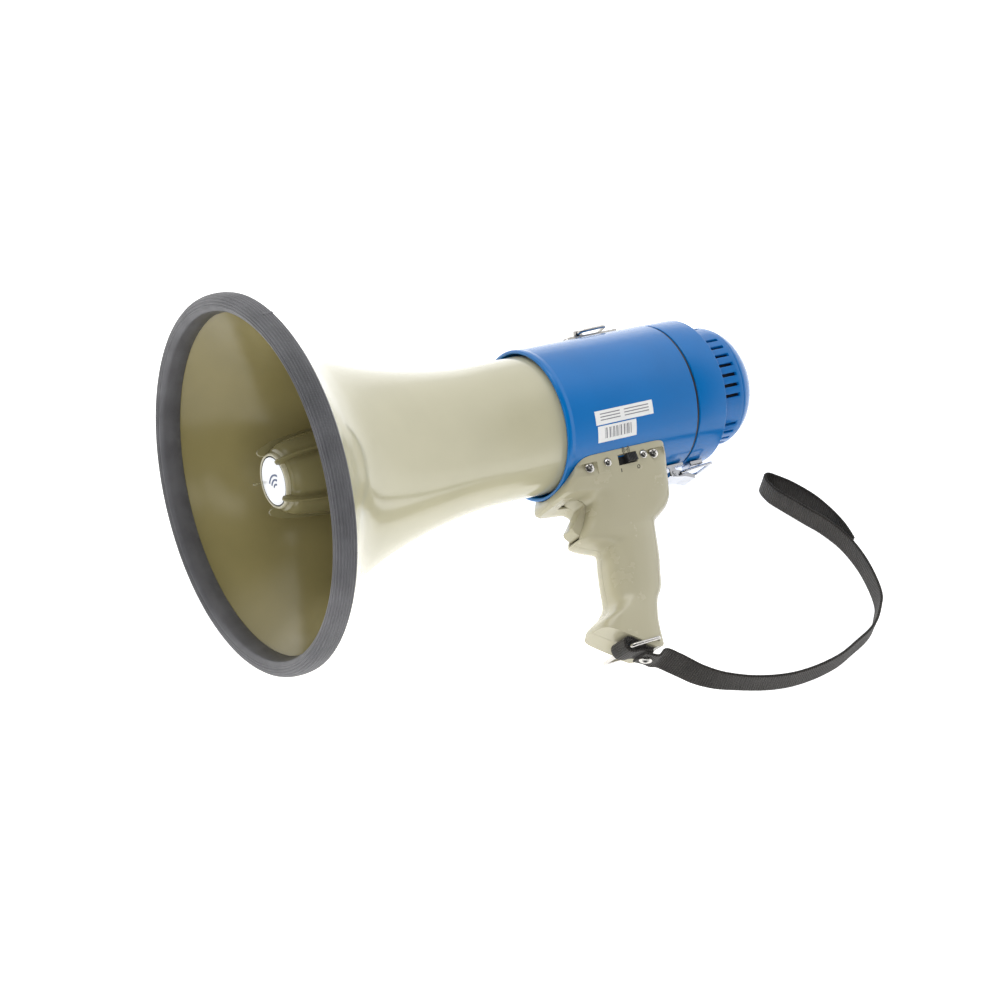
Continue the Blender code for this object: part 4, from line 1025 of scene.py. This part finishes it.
v, f = eyelet(soft([(0.0, 2.0), (0.0, 4.1), (0.7, 4.2), (1.35, 3.6), (1.5, 2.9),
                    (1.2, 2.2), (0.7, 1.9)], 0.35, 4))
eye = build('strap_eyelet', v, f, NICKEL, 'megaphone', ('strap_rivet',), world=True)
v, f = eyelet([(0.0, 0.0), (0.0, 1.95), (0.45, 1.9), (0.62, 1.2), (0.66, 0.0)][::-1])
plug = build('strap_eyelet_core', v, f, BLACK, 'megaphone', world=True)

# stitches where the band's end is sewn to itself
sv, sf = [], []
end_i = len(route) - 1
for back in (3.0, 7.5):
    i = int(np.searchsorted(run, LENGTH - back))
    p = route[i]
    t = route[min(i + 1, end_i)] - route[i - 1]
    t = t / np.linalg.norm(t)
    w = np.array([0.0, 0.0, 1.0])
    n = np.cross(w, t)
    for face in (1, -1):
        for q in np.arange(-7.4, 7.5, 1.85):
            a_ = p + w * (q - 0.62) + n * face * (STRAP_T / 2 - 0.02)
            b_ = p + w * q + n * face * (STRAP_T / 2 + 0.2)
            c_ = p + w * (q + 0.62) + n * face * (STRAP_T / 2 - 0.02)
            vv, ff = tube([a_, (a_ + b_) / 2 + n * face * 0.06, b_, (b_ + c_) / 2 + n * face * 0.06,
                           c_], 0.17, 8)
            base = len(sv)
            sv += vv
            sf += [tuple(k + base for k in q_) for q_ in ff]
stitch = build('strap_stitching', sv, sf, THREAD, 'megaphone', world=True)
path = resample(ROUTE, LENGTH / 38.0)

# ---------------------------------------------------- finishes on kept nodes
# throat_tube and bullet_spider take the darker cream copy as well; its olive darkness is painted
# shade
FINISH = {
    'throat_tube': SHADED_CREAM, 'bullet_spider': SHADED_CREAM, 'driver_diaphragm': FERRITE,
    'driver_magnet': FERRITE, 'driver_pole': STEEL, 'driver_yoke': STEEL,
    'circuit_board': BOARD, 'battery_tray': BLACK, 'mic_foam': FOAM,
    'mic_capsule': STEEL, 'trigger_pin': STEEL, 'trigger_spring': STEEL,
    'talk_switch': BLACK, 'siren_switch_body': STEEL, 'volume_potentiometer': STEEL,
    'latch_base': CHROME, 'latch_hook': CHROME, 'latch_lever': CHROME,
    'latch_pin': CHROME, 'top_bracket': NICKEL, 'bracket_screw_1': NICKEL,
    'bracket_screw_2': NICKEL}
for k in range(6):
    FINISH['battery_cell_%d' % (k + 1)] = CELL
for name, mat in FINISH.items():
    ob = NODE[name]
    if not ob.material_slots:
        ob.data.materials.append(mat)
    for sl in ob.material_slots:
        sl.material = mat

# ------------------------------------------------------ floor, light, camera
FLOOR = surface('studio_floor', (0.90, 0.90, 0.90), 0.6, mottle=0.004, patch=3.0,
                bump=0.01)
glow = FLOOR.node_tree.nodes['Principled BSDF']
glow.inputs['Emission Color'].default_value = (1.0, 1.0, 1.0, 1.0)
glow.inputs['Emission Strength'].default_value = 0.8
me = bpy.data.meshes.new('studio_floor')
me.from_pydata([(-6, -6, 0), (6, -6, 0), (6, 6, 0), (-6, 6, 0)], [], [(0, 1, 2, 3)])
me.materials.append(FLOOR)
floor = bpy.data.objects.new('studio_floor', me)
bpy.context.scene.collection.objects.link(floor)

C = np.array([-590.28071, -1179.67839, -350.08937])
AX = np.array([[0.82824847, -0.43603744, -0.35195997],
               [0.19643747, -0.36230794, 0.91112309],
               [-0.52480166, -0.82377443, -0.21442691]])
cam_data = bpy.data.cameras.new('camera')
cam_data.sensor_width = 36.0
cam_data.lens = 83.2149
cam_data.clip_start = 0.05
cam_data.clip_end = 30.0
cam = bpy.data.objects.new('camera', cam_data)
bpy.context.scene.collection.objects.link(cam)
R = AX @ ROT.T
M4 = Matrix.Identity(4)
for r in range(3):
    M4[r][0], M4[r][1], M4[r][2] = R[0][r], R[1][r], R[2][r]
    M4[r][3] = float(W(C)[r])
if M4.to_3x3().determinant() < 0:
    for r in range(3):
        M4[r][2] = -M4[r][2]
cam.matrix_world = M4
bpy.context.scene.camera = cam
TO_CAM = Vector(tuple(W(C) - W((190, 0, -20)))).normalized()

world = bpy.data.worlds.new('studio')
bpy.context.scene.world = world
world.use_nodes = True
nt = world.node_tree
bg = nt.nodes['Background']
tc = nt.nodes.new('ShaderNodeTexCoord')
dot = nt.nodes.new('ShaderNodeVectorMath')
dot.operation = 'DOT_PRODUCT'
dot.inputs[1].default_value = tuple(TO_CAM)
nt.links.new(tc.outputs['Generated'], dot.inputs[0])
rng = nt.nodes.new('ShaderNodeMapRange')
rng.interpolation_type = 'SMOOTHSTEP'
rng.inputs['From Min'].default_value = 0.05
rng.inputs['From Max'].default_value = 0.55
rng.inputs['To Min'].default_value = 1.25
rng.inputs['To Max'].default_value = 0.04
nt.links.new(dot.outputs['Value'], rng.inputs['Value'])
nt.links.new(rng.outputs['Result'], bg.inputs['Strength'])
bg.inputs['Color'].default_value = (1.0, 1.0, 1.0, 1.0)


def area(name, at, to, size, power, shape='RECTANGLE', size_y=None):
    d = bpy.data.lights.new(name, 'AREA')
    d.shape = shape
    d.size = size
    if size_y:
        d.size_y = size_y
    d.energy = power
    o = bpy.data.objects.new(name, d)
    o.location = at
    o.rotation_euler = (Vector(to) - Vector(at)).to_track_quat('-Z', 'Y').to_euler()
    bpy.context.scene.collection.objects.link(o)
    return o


area('key_top', (0.25, 0.75, 1.5), (0.0, 0.0, 0.05), 1.4, 9.0, size_y=0.9)
fill = area('fill_front', (-0.75, -1.05, 1.45), (0.0, 0.0, 0.05), 1.2, 21.0, size_y=1.2)
fill.visible_glossy = False      # soft frontal fill that leaves no reflection
window_card = area('window_card', (-1.35, -0.25, 0.95), (0.0, 0.0, 0.1), 0.34, 1.6, size_y=0.8)
bpy.context.scene.view_settings.view_transform = 'Standard'
bpy.context.scene.view_settings.look = 'None'
